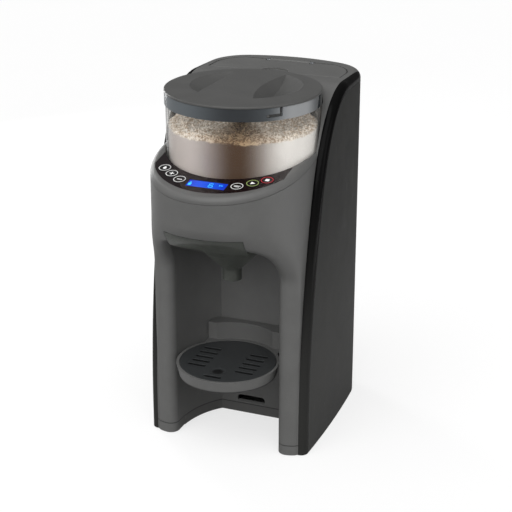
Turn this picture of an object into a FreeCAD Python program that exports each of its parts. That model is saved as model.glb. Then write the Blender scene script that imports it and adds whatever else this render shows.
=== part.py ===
import FreeCAD, Part
import math
import os

# Countertop baby formula maker: powder hopper on top, bottle bay below, water tank at the back.
# Millimetres, +Z up, the front faces -Y. The origin is the middle of the footprint, on the worktop.

V = FreeCAD.Vector
UP = V(0, 0, 1)

# ---------------------------------------------------------------- body
BODY_WIDTH = 188.0
DECK_Z = 391.0
SIDE_THICK = 9.5
CORE_WIDTH = BODY_WIDTH - 2 * SIDE_THICK
HALF_W = BODY_WIDTH / 2
CORE_X = CORE_WIDTH / 2

# the depth is the head in front of the hopper, the hopper, the tank's lid behind it and the rear edge
HEAD_REACH = 41.8
HOPPER_SIDE = 3.0
HOPPER_R = CORE_X - HOPPER_SIDE
LID_PLATE_GAP = 5.7
LID_PLATE_DEPTH = 57.0
REAR_EDGE = 25.5
BODY_DEPTH = HEAD_REACH + 2 * HOPPER_R + LID_PLATE_GAP + LID_PLATE_DEPTH + REAR_EDGE
FRONT_Y = -BODY_DEPTH / 2
REAR_Y = BODY_DEPTH / 2
HOPPER_Y = FRONT_Y + HEAD_REACH + HOPPER_R
LID_PLATE_FRONT_Y = HOPPER_Y + HOPPER_R + LID_PLATE_GAP
LID_PLATE_BACK_Y = LID_PLATE_FRONT_Y + LID_PLATE_DEPTH

# shell
WALL = 2.6
SEAM = 0.4
GAP = 0.3
FOOT_PROUD = 1.0
BASE_SEAM_Z = 12.4
BASE_FLOOR = 3.0
SIDE_BOW_R = 1500.0
SIDE_PEAK_Y = -15.0
REAR_BOW_R = 180.0
REAR_CORNER_R = 50.0
EDGE_R = 8.0

# side view of the front edge: a straight toe, a raked arc, then a sweep up to the deck
TOE_Y = -74.0
RAKE_START_Z = 30.0
KNEE_DROP = 97.0
RAKE_RISE = DECK_Z - KNEE_DROP - RAKE_START_Z
RAKE_R = 1000.0
RAKE_PULL = 48.0
DECK_START_Y = 50.0
DECK_PULL = 45.0

# side plates
TRIM_WIDTH = 9.0
SIDE_POCKET = 4.0
SIDE_RIM = 12.0

# head and pillars
CONSOLE_DROP = 78.8
PILLAR_Y = -80.8
PILLAR_SHOULDER_Y = -68.0
PILLAR_FULLNESS = 0.94
HEAD_SHOULDER = 102.8
HEAD_SHOULDER_Y = FRONT_Y + HEAD_SHOULDER
HEAD_FULLNESS = 0.598
CONSOLE_EDGE_Z = DECK_Z - CONSOLE_DROP
CHIN_DROP = 112.2
CHIN_RISE = 75.0
HEAD_OVER = 27.8
HEAD_LOW_Z = CONSOLE_EDGE_Z - CHIN_DROP
HEAD_HIGH_Z = HEAD_LOW_Z + CHIN_RISE
HEAD_TOP_Z = CONSOLE_EDGE_Z + HEAD_OVER
BLEND_STEPS = 6
FRONT_BACK_Y = -20.0
SHELL_FLANGE_Y = 18.0
SHOULDER_R = 6.5

# console deck: a plane that rises to the back
CONSOLE_SLOPE = 0.2
CONSOLE_SET_BACK = 10.5
CONSOLE_EDGE_Y = FRONT_Y + CONSOLE_SET_BACK
CONSOLE_SIDE = 5.1
CONSOLE_R = CORE_X - CONSOLE_SIDE
CONSOLE_FRONT = 10.4
CONSOLE_Y = FRONT_Y + CONSOLE_FRONT + CONSOLE_R
CONSOLE_DECK = 4.0
CONSOLE_LEDGE = 2.5
CONSOLE_TIP_SIDE = 12.5
CONSOLE_TIP_X = CORE_X - CONSOLE_TIP_SIDE
PANEL_THICK = 2.0
HOOD_SEAM_DROP = 7.0

# keys, display and their board
KEY_R = 6.8
KEY_PROUD = 0.7
KEY_TRAVEL = 0.6
KEY_CLEAR = 0.2
KEY_EDGE_R = 0.6
KEY_ARC_R = 79.4
KEY_INNER_TURN = 27.9
KEY_MIDDLE_TURN = 41.7
KEY_OUTER_TURN = 54.3
KEY_INNER_SET = 11.9
KEY_MIDDLE_SET = 12.3
KEY_OUTER_SET = 9.5
KEY_PLACES = (
    (KEY_INNER_TURN, KEY_INNER_SET),
    (KEY_MIDDLE_TURN, KEY_MIDDLE_SET),
    (KEY_OUTER_TURN, KEY_OUTER_SET),
)
LCD_WIDTH = 42.4
LCD_DEPTH = 12.9
LCD_SET_BACK = 26.8
LCD_Y = FRONT_Y + LCD_SET_BACK
LCD_DROP = 0.4
BOARD_THICK = 1.6
BOARD_MARGIN = 1.0

# hopper
HOPPER_WALL = 2.4
HOPPER_FLOOR = 3.0
HOPPER_FOOT_R = 5.0
POCKET_CLEAR = 0.8
POCKET_WALL = 2.0
POCKET_FLOOR = 3.0
COLLAR_PROUD = 1.3
COLLAR_WALL = 2.8
COLLAR_HEIGHT = 13.0
COLLAR_RISE = 0.2
CUP_HEIGHT = 79.9
COLLAR_R = HOPPER_R + COLLAR_PROUD
COLLAR_INNER_R = COLLAR_R - COLLAR_WALL
COLLAR_TOP_Z = DECK_Z + COLLAR_RISE
COLLAR_LOW_Z = COLLAR_TOP_Z - COLLAR_HEIGHT
HOPPER_FLOOR_Z = COLLAR_LOW_Z - CUP_HEIGHT
POCKET_FLOOR_Z = HOPPER_FLOOR_Z - GAP
OUTLET_R = 8.0
CHUTE_R = 10.0
CHUTE_WALL = 1.6
CHUTE_LENGTH = 38.0
CHUTE_LOW_Z = POCKET_FLOOR_Z - CHUTE_LENGTH

# bayonet lugs and their slots in the collar
LUG_ANGLES = (-50, 70, 190)
LUG_R = 1.4
LUG_RISE = 5.0
LUG_Z = COLLAR_LOW_Z + LUG_RISE
SLOT_CLEAR = 0.3
SLOT_TURN = 10.0

# lid
LID_OVERHANG = 0.4
LID_R = COLLAR_R + LID_OVERHANG
LID_THICK = 2.2
LID_SKIN = 2.4
LID_EDGE_R = 1.0
SKIRT_CLEAR = 0.4
SKIRT_R = COLLAR_INNER_R - SKIRT_CLEAR
SKIRT_WALL = 2.2
SKIRT_RISE = 3.2
SKIRT_LOW_Z = COLLAR_LOW_Z + SKIRT_RISE
SEAL_THICK = 2.0
DISH_MARGIN = 23.2
DISH_R = LID_R - DISH_MARGIN
DISH_DEPTH = 15.0
DISH_X = -1.0
DISH_Y = 12.0
GRIP_LEFT_X = -35.0
GRIP_RIGHT_X = 16.0
GRIP_RIGHT_Y = 20.0
GRIP_WAIST_R = 163.0
GRIP_DRAFT = 14.0

# powder and its rotor
POWDER_GAP = 22.2
POWDER_EDGE_Z = COLLAR_LOW_Z - POWDER_GAP
POWDER_HEAP = 7.0
ROTOR_HUB_R = 11.0
ROTOR_NOSE_R = 7.0
ROTOR_FLOAT = 0.5
WHEEL_R = 46.0
WHEEL_THICK = 5.0
WHEEL_POCKETS = 8
STIR_CLEAR = 5.1
STIR_R = HOPPER_R - HOPPER_WALL - STIR_CLEAR
STIR_ARM = 6.0
STIR_HEIGHT = 7.0
STIR_ARMS = 3

# drive under the hopper
GEAR_DISTANCE = 24.0
WHEEL_TEETH = 36
PINION_TEETH = 12
GEAR_MODULE = 2 * GEAR_DISTANCE / (WHEEL_TEETH + PINION_TEETH)
GEAR_FACE = 6.0
SHAFT_R = 3.0
RUNNING_CLEAR = 0.05
DOG_SIDE = 7.0
DOG_CLEAR = 0.2
DOG_RISE = 10.0
DOG_TOP_Z = POCKET_FLOOR_Z + DOG_RISE
CASE_R = 21.4
CASE_NOSE_R = 11.0
CASE_WALL = 2.0
CASE_DROP = 30.0
CASE_LOW_Z = POCKET_FLOOR_Z - CASE_DROP
GEAR_SPACE = 1.0
TOOTH_TIP = 0.9
TOOTH_ROOT = 1.2
TIP_SHARE = 0.11
ROOT_SHARE = 0.33
PINION_FIRST = -75.0
MOTOR_R = 14.0
MOTOR_LENGTH = 42.0
MOTOR_SHAFT = 10.0

# bottle bay
BAY_SIDE = 24.0
BAY_HALF_W = CORE_X - BAY_SIDE
BAY_BACK_Y = -1.6
TRAY_SIDE = 4.0
TRAY_R = BAY_HALF_W - TRAY_SIDE
TRAY_BEHIND = 10.8
TRAY_Y = BAY_BACK_Y - TRAY_BEHIND - TRAY_R
BAY_OVAL_BACK = 2.5
BAY_OVAL_Y = TRAY_Y + BAY_OVAL_BACK
BAY_OVAL_DEPTH = 81.0
CEILING_DROP = 56.0
BAY_CEILING_Z = POCKET_FLOOR_Z - CEILING_DROP
CEILING_THICK = 2.0

# bay mouth: straight sides, an arch that starts where the head leans out, and a rounded edge
MOUTH_RISE = 10.0
MOUTH_TOP_Z = BAY_CEILING_Z + MOUTH_RISE
MOUTH_SHOULDER_X = 10.5
MOUTH_SHOULDER_Z = 2.0
MOUTH_ROUND = 10.0
MOUTH_DEPTH = 26.0
RIM_WIDTH = 6.0
RIM_DEPTH = MOUTH_ROUND + 2.0
LINER_FRONT_Y = PILLAR_Y + RIM_DEPTH

# funnel drawer
SPOUT_Y = -55.6
SPOUT_R = 10.6
SPOUT_LENGTH = 12.5
CONE_HEIGHT = 23.4
BOWL_HEIGHT = 8.6
FUNNEL_WALL = 2.0
FLANGE_THICK = 2.5
FLANGE_BEHIND = 5.6
FLANGE_CORNER_R = 12.0
FLANGE_SIDE = 0.4
FLANGE_RIM = 2.2
FASCIA_SIDE = 16.9
FASCIA_RISE = 21.8
FASCIA_SEAM = 0.5
FUNNEL_RIM_DROP = 7.0
CONE_STEP = 7.0
FASCIA_HALF_W = BAY_HALF_W - FASCIA_SIDE
FASCIA_TOP_Z = BAY_CEILING_Z + FASCIA_RISE
FLANGE_HALF_W = FASCIA_HALF_W - FLANGE_SIDE
DISH_RIM_R = FLANGE_HALF_W - FLANGE_RIM
FLANGE_BACK_Y = SPOUT_Y + DISH_RIM_R + FLANGE_BEHIND
DISH_RIM_Z = BAY_CEILING_Z - FUNNEL_RIM_DROP
CONE_R = DISH_RIM_R - CONE_STEP
CONE_Z = DISH_RIM_Z - BOWL_HEIGHT
SPOUT_TOP_Z = CONE_Z - CONE_HEIGHT
SPOUT_LOW_Z = SPOUT_TOP_Z - SPOUT_LENGTH
DRAWER_SLOT_CLEAR = 0.6
COVER_LAP = 1.5
COVER_THICK = 2.0
COVER_HOLE_R = 13.0

# cup tray
TRAY_FLARE = 3.0
TRAY_FOOT_R = TRAY_R - TRAY_FLARE
TRAY_TOP_Z = 98.0
TRAY_HEIGHT = 13.0
TRAY_WALL = 2.0
TRAY_LIP = 1.6
TRAY_RIM = 3.5
GRATE_R = TRAY_R - TRAY_RIM
GRATE_THICK = 3.0
GRATE_CLEAR = 0.3
SLOT_ROWS = (-21.6, -10.8, 0.0, 11.4, 22.7)
SLOT_IN_X = 17.0
SLOT_MARGIN = 14.5
SLOT_OUT_X = GRATE_R - SLOT_MARGIN
SLOT_WIDTH = 4.6
FRONT_SLOT_MARGIN = 10.0
FRONT_SLOT_Y = FRONT_SLOT_MARGIN - GRATE_R
FRONT_SLOT_X = 10.3
THUMB_MARGIN = 25.0
THUMB_Y = THUMB_MARGIN - GRATE_R
THUMB_R = 9.0
THUMB_DEPTH = 1.6
SADDLE_SIDE = 12.5
SADDLE_HALF_W = TRAY_R - SADDLE_SIDE
SADDLE_RISE = 20.0
SADDLE_DEEP = 19.0
SADDLE_ROUND = 2.0
SADDLE_TOP_Z = TRAY_TOP_Z + SADDLE_RISE
SADDLE_CLEAR = 0.6
TONGUE_HALF_W = 14.5
TONGUE_THICK = 4.4
TONGUE_LENGTH = 8.0
TONGUE_RISE = 2.0
HOOK_DROPS = (0.0, 34.5, 69.0)
HOOK_CLEAR = 0.8
HOOK_SIDE = 2.4
HOOK_ROUND = 4.5
HOOK_RAMP = 3.5

# water tank
TANK_FRONT_IN = 3.5
TANK_BACK_IN = 7.0
TANK_FRONT_Y = LID_PLATE_FRONT_Y + TANK_FRONT_IN
TANK_BACK_Y = LID_PLATE_BACK_Y - TANK_BACK_IN
TANK_LOW_Z = 150.0
TANK_TOP_DROP = 3.4
TANK_TOP_Z = DECK_Z - TANK_TOP_DROP
TANK_WALL = 2.2
TANK_CORNER_R = 30.0
TANK_FRONT_R = 8.0
TANK_NECK_IN = 24.0
TANK_Y = TANK_BACK_Y - TANK_NECK_IN
TANK_NECK_R = 11.0
TANK_NECK_WALL = 2.0
TANK_NECK_DROP = 11.0
LID_PLATE_SIDE = 7.5
LID_PLATE_HALF_W = CORE_X - LID_PLATE_SIDE
TANK_SIDE = 9.0
TANK_HALF_W = LID_PLATE_HALF_W - TANK_SIDE
LID_PLATE_CORNER_R = 38.0
LID_PLATE_THICK = 3.0
LID_PLATE_CLEAR = 1.0
LID_PLATE_ROUND = 1.0
LIP_DROP = 6.0
LIP_CLEAR = 1.2
LIP_WALL = 1.6
NOTCH_R = 17.0
NOTCH_DEEP = 2.0
HINGE_DROP = 0.6
HINGE_SET_IN = 2.6
HINGE_HALF_W = 24.0
HINGE_PIN_R = 0.9
HINGE_KNUCKLE_R = 1.8
HINGE_EAR = 4.0
HINGE_SIDE_GAP = 0.3
EAR_DROP = 15.0
EAR_LOW_Z = DECK_Z - EAR_DROP
VALVE_R = 7.0
VALVE_THICK = 2.0
VALVE_HOLE_R = 3.4
STEM_R = 2.5
COLLET_R = 6.0
COLLET_THICK = 1.5
SPRING_R = 4.4
SPRING_WIRE_R = 0.45
SPRING_TURNS = 5
TANK_SEAL_THICK = 2.0
SEAL_CLEAR = 0.1

# inner frame and machinery
FRAME_SIDE = 6.5
FRAME_HALF_W = CORE_X - FRAME_SIDE
FRAME_AHEAD = 7.0
FRAME_Y = LID_PLATE_FRONT_Y - FRAME_AHEAD
FRAME_THICK = 3.0
FRAME_POST = 12.0
FRAME_WINDOW_HALF_W = FRAME_HALF_W - FRAME_POST
FRAME_WINDOW_TOP_Z = 122.0
ARM_HALF_W = 24.0
ARM_FRONT_Y = -40.0
ARM_THICK = 2.5
SHELF_THICK = 3.0
SHELF_BACK_IN = 2.0
SHELF_BACK_Y = TANK_BACK_Y - SHELF_BACK_IN
SHELF_SIDE = 2.0
SHELF_HALF_W = TANK_HALF_W - SHELF_SIDE
SOCKET_R = 15.0
SOCKET_WALL = 2.0
SOCKET_DROP = 6.0
RAIL_WIDTH = 7.0
RAIL_SIDE = 2.0
RAIL_X = FRAME_HALF_W - RAIL_WIDTH - RAIL_SIDE
RAIL_HEIGHT = 5.0
POST_R = 5.0
POST_HEIGHT = 18.0
POST_X = RAIL_X + RAIL_WIDTH / 2
POST_FRONT_Y = -45.0
POST_AHEAD = 7.0
POST_REAR_Y = FRAME_Y - POST_AHEAD
POST_PLACES = ((POST_X, POST_FRONT_Y), (POST_X, POST_REAR_Y))
PUMP_X = -38.0
PUMP_R = 15.0
PUMP_HEAD_R = 18.0
PUMP_BODY_TOP_Z = 52.0
PUMP_TOP_Z = 66.0
PUMP_PORT_X = 8.0
SERVICE_AHEAD = 27.0
SERVICE_Y = FRAME_Y - SERVICE_AHEAD
HEATER_X = 32.0
HEATER_HALF_W = 20.0
HEATER_HALF_D = 13.0
HEATER_LOW_Z = 56.0
HEATER_TOP_Z = 148.0
HEATER_ROUND = 6.0
BRACKET_LOW_Z = 126.0
BRACKET_HIGH_Z = 140.0
BRACKET_HALF_W = 10.0
HOSE_R = 4.0
HOSE_BORE_R = 2.6
HOSE_BEND = 14.0
HOSE_CROSS_Z = 93.0
HOSE_DROP_Z = 104.0
SPIGOT = 8.0
NOZZLE_R = 5.0
NOZZLE_Y = -58.0
NOZZLE_DROP = 32.0
NOZZLE_LENGTH = 16.0
HOSE_IN_DROP = 10.0
NOZZLE_TOP_Z = POCKET_FLOOR_Z - NOZZLE_DROP
NOZZLE_LOW_Z = NOZZLE_TOP_Z - NOZZLE_LENGTH
HOSE_HIGH_Z = NOZZLE_TOP_Z - HOSE_IN_DROP
NOZZLE_POST_R = 3.0
NOZZLE_BORE_R = 1.5
BOARD_HALF_W = 26.0
BOARD_LOW_Z = 158.0
BOARD_HIGH_Z = 222.0
INLET_HALF_W = 13.5
INLET_HALF_H = 10.0
INLET_DEPTH = 18.0
INLET_LIP = 2.0
INLET_Z = 42.0
INLET_PIN_R = 1.4
INLET_PIN_X = 6.0
FOOT_R = 7.5
FOOT_SEAT = 1.0
FOOT_FRONT_OUT = 0.5
FOOT_FRONT_Y = -64.0
FOOT_REAR_IN = 12.5
FOOT_REAR_AHEAD = 42.5
FOOT_REAR_Y = REAR_Y - FOOT_REAR_AHEAD
FOOT_PLACES = ((POST_X + FOOT_FRONT_OUT, FOOT_FRONT_Y), (POST_X - FOOT_REAR_IN, FOOT_REAR_Y))
SCREW_R = 1.8
SCREW_HEAD_R = 3.4
SCREW_HEAD = 1.6
SCREW_LENGTH = 14.0

# ---------------------------------------------------------------- derived
FAR = DECK_Z + BODY_DEPTH
PAST = 20.0
TILT = math.atan(CONSOLE_SLOPE)
NORMAL = V(0, -math.sin(TILT), math.cos(TILT))
POCKET_R = HOPPER_R + POCKET_CLEAR
CUP_R = POCKET_R + POCKET_WALL
COLLAR_POCKET_R = LID_R + POCKET_CLEAR
HOPPER_INNER_Z = HOPPER_FLOOR_Z + HOPPER_FLOOR
HOPPER_INNER_R = HOPPER_R - HOPPER_WALL
WHEEL_Z = HOPPER_INNER_Z + ROTOR_FLOAT
STIR_Z = WHEEL_Z + WHEEL_THICK
STIR_TOP_Z = STIR_Z + STIR_HEIGHT
POWDER_LOW_Z = STIR_TOP_Z + ROTOR_FLOAT
LID_LOW_Z = COLLAR_TOP_Z + GAP
LID_TOP_Z = LID_LOW_Z + LID_THICK
OUTLET_RADIUS = HOPPER_Y - SPOUT_Y
IDLER_Y = HOPPER_Y + GEAR_DISTANCE
MOTOR_Y = IDLER_Y + GEAR_DISTANCE
LOW_GEAR_Z = CASE_LOW_Z + CASE_WALL + GEAR_SPACE
HIGH_GEAR_Z = LOW_GEAR_Z + GEAR_FACE + GEAR_SPACE
CASE_TOP_Z = HIGH_GEAR_Z + GEAR_FACE + GEAR_SPACE
COVER_TOP_Z = CASE_TOP_Z + CASE_WALL
CEILING_TOP_Z = BAY_CEILING_Z + CEILING_THICK
FLANGE_Z = CEILING_TOP_Z + GAP
FLANGE_TOP_Z = FLANGE_Z + FLANGE_THICK
TRAY_LOW_Z = TRAY_TOP_Z - TRAY_HEIGHT
TONGUE_Z = TRAY_LOW_Z + TONGUE_RISE
LID_PLATE_Z = DECK_Z - LID_PLATE_THICK
HINGE_Z = DECK_Z - HINGE_DROP
HINGE_Y = LID_PLATE_BACK_Y - HINGE_SET_IN
FLOOR_Z = FOOT_PROUD + BASE_FLOOR
NECK_LOW_Z = TANK_LOW_Z - TANK_NECK_DROP
SHELF_TOP_Z = TANK_LOW_Z - GAP
SOCKET_FLOOR_Z = NECK_LOW_Z - SOCKET_DROP


# ---------------------------------------------------------------- helpers
def box(x0, x1, y0, y1, z0, z1):
    """A block between two corners."""
    return Part.makeBox(x1 - x0, y1 - y0, z1 - z0, V(x0, y0, z0))


def rod(r, x, y, z0, z1):
    """An upright cylinder."""
    return Part.makeCylinder(r, z1 - z0, V(x, y, z0), UP)


def tube(r_out, r_in, x, y, z0, z1):
    """An upright ring."""
    return rod(r_out, x, y, z0, z1).cut(rod(r_in, x, y, z0 - 1, z1 + 1))


def ball_radius(rim_r, depth):
    """The radius of the ball whose cap has this rim and depth."""
    return (rim_r ** 2 + depth ** 2) / (2 * depth)


def turned(points, x, y):
    """A solid of revolution about an upright axis from (radius, height) points."""
    wire = Part.makePolygon([V(r, 0, z) for r, z in points] + [V(points[0][0], 0, points[0][1])])
    solid = Part.Face(wire).revolve(V(0, 0, 0), UP, 360)
    solid.translate(V(x, y, 0))
    return solid


def slab(low, high):
    """The layer between two distances above the console plane."""
    layer = Part.makeBox(2 * FAR, 2 * FAR, high - low, V(-FAR, -FAR, low))
    layer.rotate(V(0, 0, 0), V(1, 0, 0), math.degrees(TILT))
    layer.translate(V(0, CONSOLE_EDGE_Y, CONSOLE_EDGE_Z))
    return layer


def console_point(x, y, lift=0.0):
    """A point of the console plane, lifted along its normal."""
    z = CONSOLE_EDGE_Z + CONSOLE_SLOPE * (y - CONSOLE_EDGE_Y)
    return V(x, y, z) + NORMAL * lift


def height_over_console(point):
    """The distance of a point from the console plane."""
    return (point - V(0, CONSOLE_EDGE_Y, CONSOLE_EDGE_Z)).dot(NORMAL)


def middle(edge):
    """The point half way along an edge."""
    return edge.valueAt((edge.FirstParameter + edge.LastParameter) / 2)


def upright(edge):
    """True for an edge that runs along Z."""
    return abs(edge.tangentAt(edge.FirstParameter).z) > 0.9


def mirrored(shape):
    """The mirror image across the middle plane."""
    return shape.mirror(V(0, 0, 0), V(1, 0, 0))


def extruded(edges, along):
    """A closed outline pushed along a vector."""
    return Part.Face(Part.Wire(edges)).extrude(along)


# ---------------------------------------------------------------- body envelope
def plan_block(inset, z0, z1):
    """The footprint with bowed sides and rounded rear corners, pushed up."""
    solid = box(-FAR, FAR, FRONT_Y, REAR_Y + 1, z0, z1)
    for side in (-1, 1):
        solid = solid.common(rod(SIDE_BOW_R - inset, side * (HALF_W - SIDE_BOW_R), SIDE_PEAK_Y, z0, z1))
    solid = solid.common(rod(REAR_BOW_R - inset, 0, REAR_Y - REAR_BOW_R, z0, z1))
    corners = [e for e in solid.Edges if upright(e) and e.CenterOfMass.y > 0]
    return solid.makeFillet(REAR_CORNER_R - inset, corners)


def profile_block(inset, x0, x1):
    """The side view with its raked front edge, pushed across from x0 to x1."""
    radius = RAKE_R - inset
    centre_y = TOE_Y + RAKE_R
    end = math.asin(RAKE_RISE / RAKE_R)
    mid = end / 2
    toe = V(x0, TOE_Y + inset, -5)
    start = V(x0, TOE_Y + inset, RAKE_START_Z)
    middle = V(x0, centre_y - radius * math.cos(mid), RAKE_START_Z + radius * math.sin(mid))
    knee = V(x0, centre_y - radius * math.cos(end), RAKE_START_Z + radius * math.sin(end))
    deck = V(x0, DECK_START_Y, DECK_Z - inset)
    pull_up = knee + V(0, math.sin(end), math.cos(end)) * RAKE_PULL
    pull_back = deck - V(0, DECK_PULL, 0)
    sweep = Part.BezierCurve()
    sweep.setPoles([knee, pull_up, pull_back, deck])
    rear_top = V(x0, FAR, DECK_Z - inset)
    rear_low = V(x0, FAR, -5)
    edges = [
        Part.makeLine(toe, start),
        Part.Arc(start, middle, knee).toShape(),
        sweep.toShape(),
        Part.makeLine(deck, rear_top),
        Part.makeLine(rear_top, rear_low),
        Part.makeLine(rear_low, toe),
    ]
    return extruded(edges, V(x1 - x0, 0, 0))


def front_section(z, inset):
    """One level outline of the pillars and head: a full-cornered bow with straight sides."""
    rise = min(max((z - HEAD_LOW_Z) / (HEAD_HIGH_Z - HEAD_LOW_Z), 0.0), 1.0)
    ease = rise * rise * (3 - 2 * rise)
    front = PILLAR_Y + (FRONT_Y - PILLAR_Y) * ease + inset
    shoulder = PILLAR_SHOULDER_Y + (HEAD_SHOULDER_Y - PILLAR_SHOULDER_Y) * ease
    fullness = PILLAR_FULLNESS + (HEAD_FULLNESS - PILLAR_FULLNESS) * ease
    half = CORE_X - inset
    turn = shoulder - fullness * (shoulder - front)
    right = [V(fullness * half, front, z), V(half, turn, z), V(half, shoulder, z)]
    left = [V(-p.x, p.y, z) for p in reversed(right)]
    bow = Part.BSplineCurve()
    bow.buildFromPolesMultsKnots(left + right, (4, 2, 4), (0, 1, 2), False, 3)
    back_right = V(half, FRONT_BACK_Y, z)
    back_left = V(-half, FRONT_BACK_Y, z)
    return Part.Wire([
        bow.toShape(),
        Part.makeLine(right[-1], back_right),
        Part.makeLine(back_right, back_left),
        Part.makeLine(back_left, left[0]),
    ])


def front_block(inset, top_drop):
    """Pillars blending forward into the rounded head, cut off below the console plane."""
    pillars = Part.Face(front_section(0, inset)).extrude(V(0, 0, HEAD_LOW_Z))
    levels = [HEAD_LOW_Z + (HEAD_HIGH_Z - HEAD_LOW_Z) * i / BLEND_STEPS for i in range(BLEND_STEPS + 1)]
    blend = Part.makeLoft([front_section(z, inset) for z in levels], True)
    head = Part.Face(front_section(HEAD_HIGH_Z, inset)).extrude(V(0, 0, HEAD_TOP_Z - HEAD_HIGH_Z))
    head = head.cut(slab(-top_drop, FAR))
    if top_drop == 0:
        ahead = [e for e in head.Edges if middle(e).y < FRONT_BACK_Y - 1]
        rim = [e for e in ahead if abs(height_over_console(middle(e))) < 0.01]
        head = head.makeFillet(SHOULDER_R, rim)
    return pillars.fuse([blend, head])


def envelope(inset, z0):
    """Plan and side view together, with the outer edge rounded from toe to deck and round the rear."""
    body = plan_block(inset, z0, DECK_Z + 10).common(profile_block(inset, -FAR, FAR))
    rim = []
    for edge in body.Edges:
        place = middle(edge)
        across_front = abs(place.x) < 1 and place.y < LID_PLATE_BACK_Y
        rear_upright = upright(edge) and place.y > 0
        if place.z > z0 + 1 and not across_front and not rear_upright:
            rim.append(edge)
    return body.makeFillet(EDGE_R - inset, rim)


def core_block(inset, top_drop, z0):
    """The whole grey core between the side plates."""
    half = CORE_X - inset
    body = envelope(inset, z0).common(box(-half, half, -FAR, FAR, z0, FAR))
    front = front_block(inset, top_drop).common(box(-FAR, FAR, -FAR, FAR, z0, FAR))
    return body.fuse(front)


def bay_block(offset, z0, z1):
    """The bottle bay's plan, grown by offset, pushed up."""
    half = BAY_HALF_W + offset
    deep = BAY_OVAL_DEPTH + offset
    oval = Part.Ellipse(V(0, BAY_OVAL_Y + deep, z0), V(half, BAY_OVAL_Y, z0), V(0, BAY_OVAL_Y, z0))
    bowl = extruded([oval.toShape()], V(0, 0, z1 - z0))
    bowl = bowl.common(box(-FAR, FAR, BAY_OVAL_Y - 1, BAY_BACK_Y + offset, z0, z1))
    return bowl.fuse(box(-half, half, FRONT_Y - PAST, BAY_OVAL_Y, z0, z1)).removeSplitter()


def bay_mouth(grow):
    """The arched mouth's outline, grown outwards and pushed through the front."""
    y = FRONT_Y - PAST
    half = BAY_HALF_W + grow
    top_z = MOUTH_TOP_Z + grow
    low = V(half, y, -5)
    spring = V(half, y, HEAD_LOW_Z)
    arch = Part.BezierCurve()
    pull_up = V(half, y, top_z - MOUTH_SHOULDER_Z)
    pull_in = V(half - MOUTH_SHOULDER_X, y, top_z)
    arch.setPoles([spring, pull_up, pull_in, V(0, y, top_z)])
    edges = [Part.makeLine(low, spring), arch.toShape()]
    edges += [mirrored(edge) for edge in edges]
    edges.append(Part.makeLine(low, V(-half, y, -5)))
    return extruded(Part.__sortEdges__(edges), V(0, FRONT_BACK_Y - y, 0))


def mouth_and_rim():
    """What the rounded mouth takes from the front, and the thick rim that carries its edge."""
    back_y = PILLAR_Y + MOUTH_DEPTH
    block = front_block(0, 0).common(box(-FAR, FAR, -FAR, back_y, FOOT_PROUD, HEAD_HIGH_Z))
    rounded = block.cut(bay_mouth(0))
    edge = []
    for line in rounded.Edges:
        start = line.valueAt(line.FirstParameter)
        end = line.valueAt(line.LastParameter)
        level = abs(start.z - end.z) < 0.01
        if not level and abs(middle(line).x) < BAY_HALF_W + 0.01 and middle(line).y < back_y - 1:
            edge.append(line)
    rounded = rounded.makeFillet(MOUTH_ROUND, edge)
    rim = rounded.common(bay_mouth(RIM_WIDTH)).cut(front_block(RIM_DEPTH, CONSOLE_DECK))
    return block.cut(rounded), rim


def drawer_notch():
    """The notch above the mouth for the drawer's front."""
    half = FASCIA_HALF_W + FASCIA_SEAM
    return box(-half, half, -FAR, FRONT_BACK_Y, BAY_CEILING_Z, FASCIA_TOP_Z + FASCIA_SEAM)


def hook_slot(drop):
    """One of the tray's slots in the back wall: round-ended, with a ramp below it."""
    half = TONGUE_HALF_W + HOOK_SIDE
    low = TONGUE_Z - drop - HOOK_CLEAR
    high = TONGUE_Z - drop + TONGUE_THICK + HOOK_CLEAR
    front = BAY_BACK_Y - 1
    back = BAY_BACK_Y + WALL + 1
    slot = box(-half, half, front, back, low - HOOK_RAMP, high)
    ends = [edge for edge in slot.Edges if abs(edge.tangentAt(edge.FirstParameter).y) > 0.9]
    slot = slot.makeFillet(HOOK_ROUND, ends)
    corners = [V(-half, front, low - HOOK_RAMP), V(-half, back, low), V(-half, back, low - 2 * HOOK_RAMP)]
    corners += [V(-half, front, low - 2 * HOOK_RAMP), V(-half, front, low - HOOK_RAMP)]
    ramp = Part.Face(Part.makePolygon(corners)).extrude(V(2 * half, 0, 0))
    return slot.cut(ramp)


def crescent_block(inset, inner_r):
    """The console's crescent plan, pushed up."""
    shape = rod(CONSOLE_R - inset, 0, CONSOLE_Y, 0, FAR).cut(rod(inner_r, 0, HOPPER_Y, -1, FAR + 1))
    half = CONSOLE_TIP_X - inset
    return shape.common(box(-half, half, -FAR, HOPPER_Y, 0, FAR))


def lid_plate_block(offset, z0, z1):
    """The tank lid's plan, grown by offset: straight front, round rear corners."""
    half = LID_PLATE_HALF_W + offset
    plate = box(-half, half, LID_PLATE_FRONT_Y - offset, LID_PLATE_BACK_Y + offset, z0, z1)
    corners = [e for e in plate.Edges if upright(e) and middle(e).y > LID_PLATE_FRONT_Y + 5]
    return plate.makeFillet(LID_PLATE_CORNER_R + offset, corners)


def tank_block(inset, z0, z1):
    """The tank's plan, shrunk by inset, pushed up."""
    half = TANK_HALF_W - inset
    body = box(-half, half, TANK_FRONT_Y + inset, TANK_BACK_Y - inset, z0, z1)
    rear = [e for e in body.Edges if upright(e) and middle(e).y > TANK_Y]
    body = body.makeFillet(TANK_CORNER_R - inset, rear)
    front = [e for e in body.Edges if upright(e) and middle(e).y < TANK_FRONT_Y + inset + 1]
    return body.makeFillet(TANK_FRONT_R - inset, front)


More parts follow.
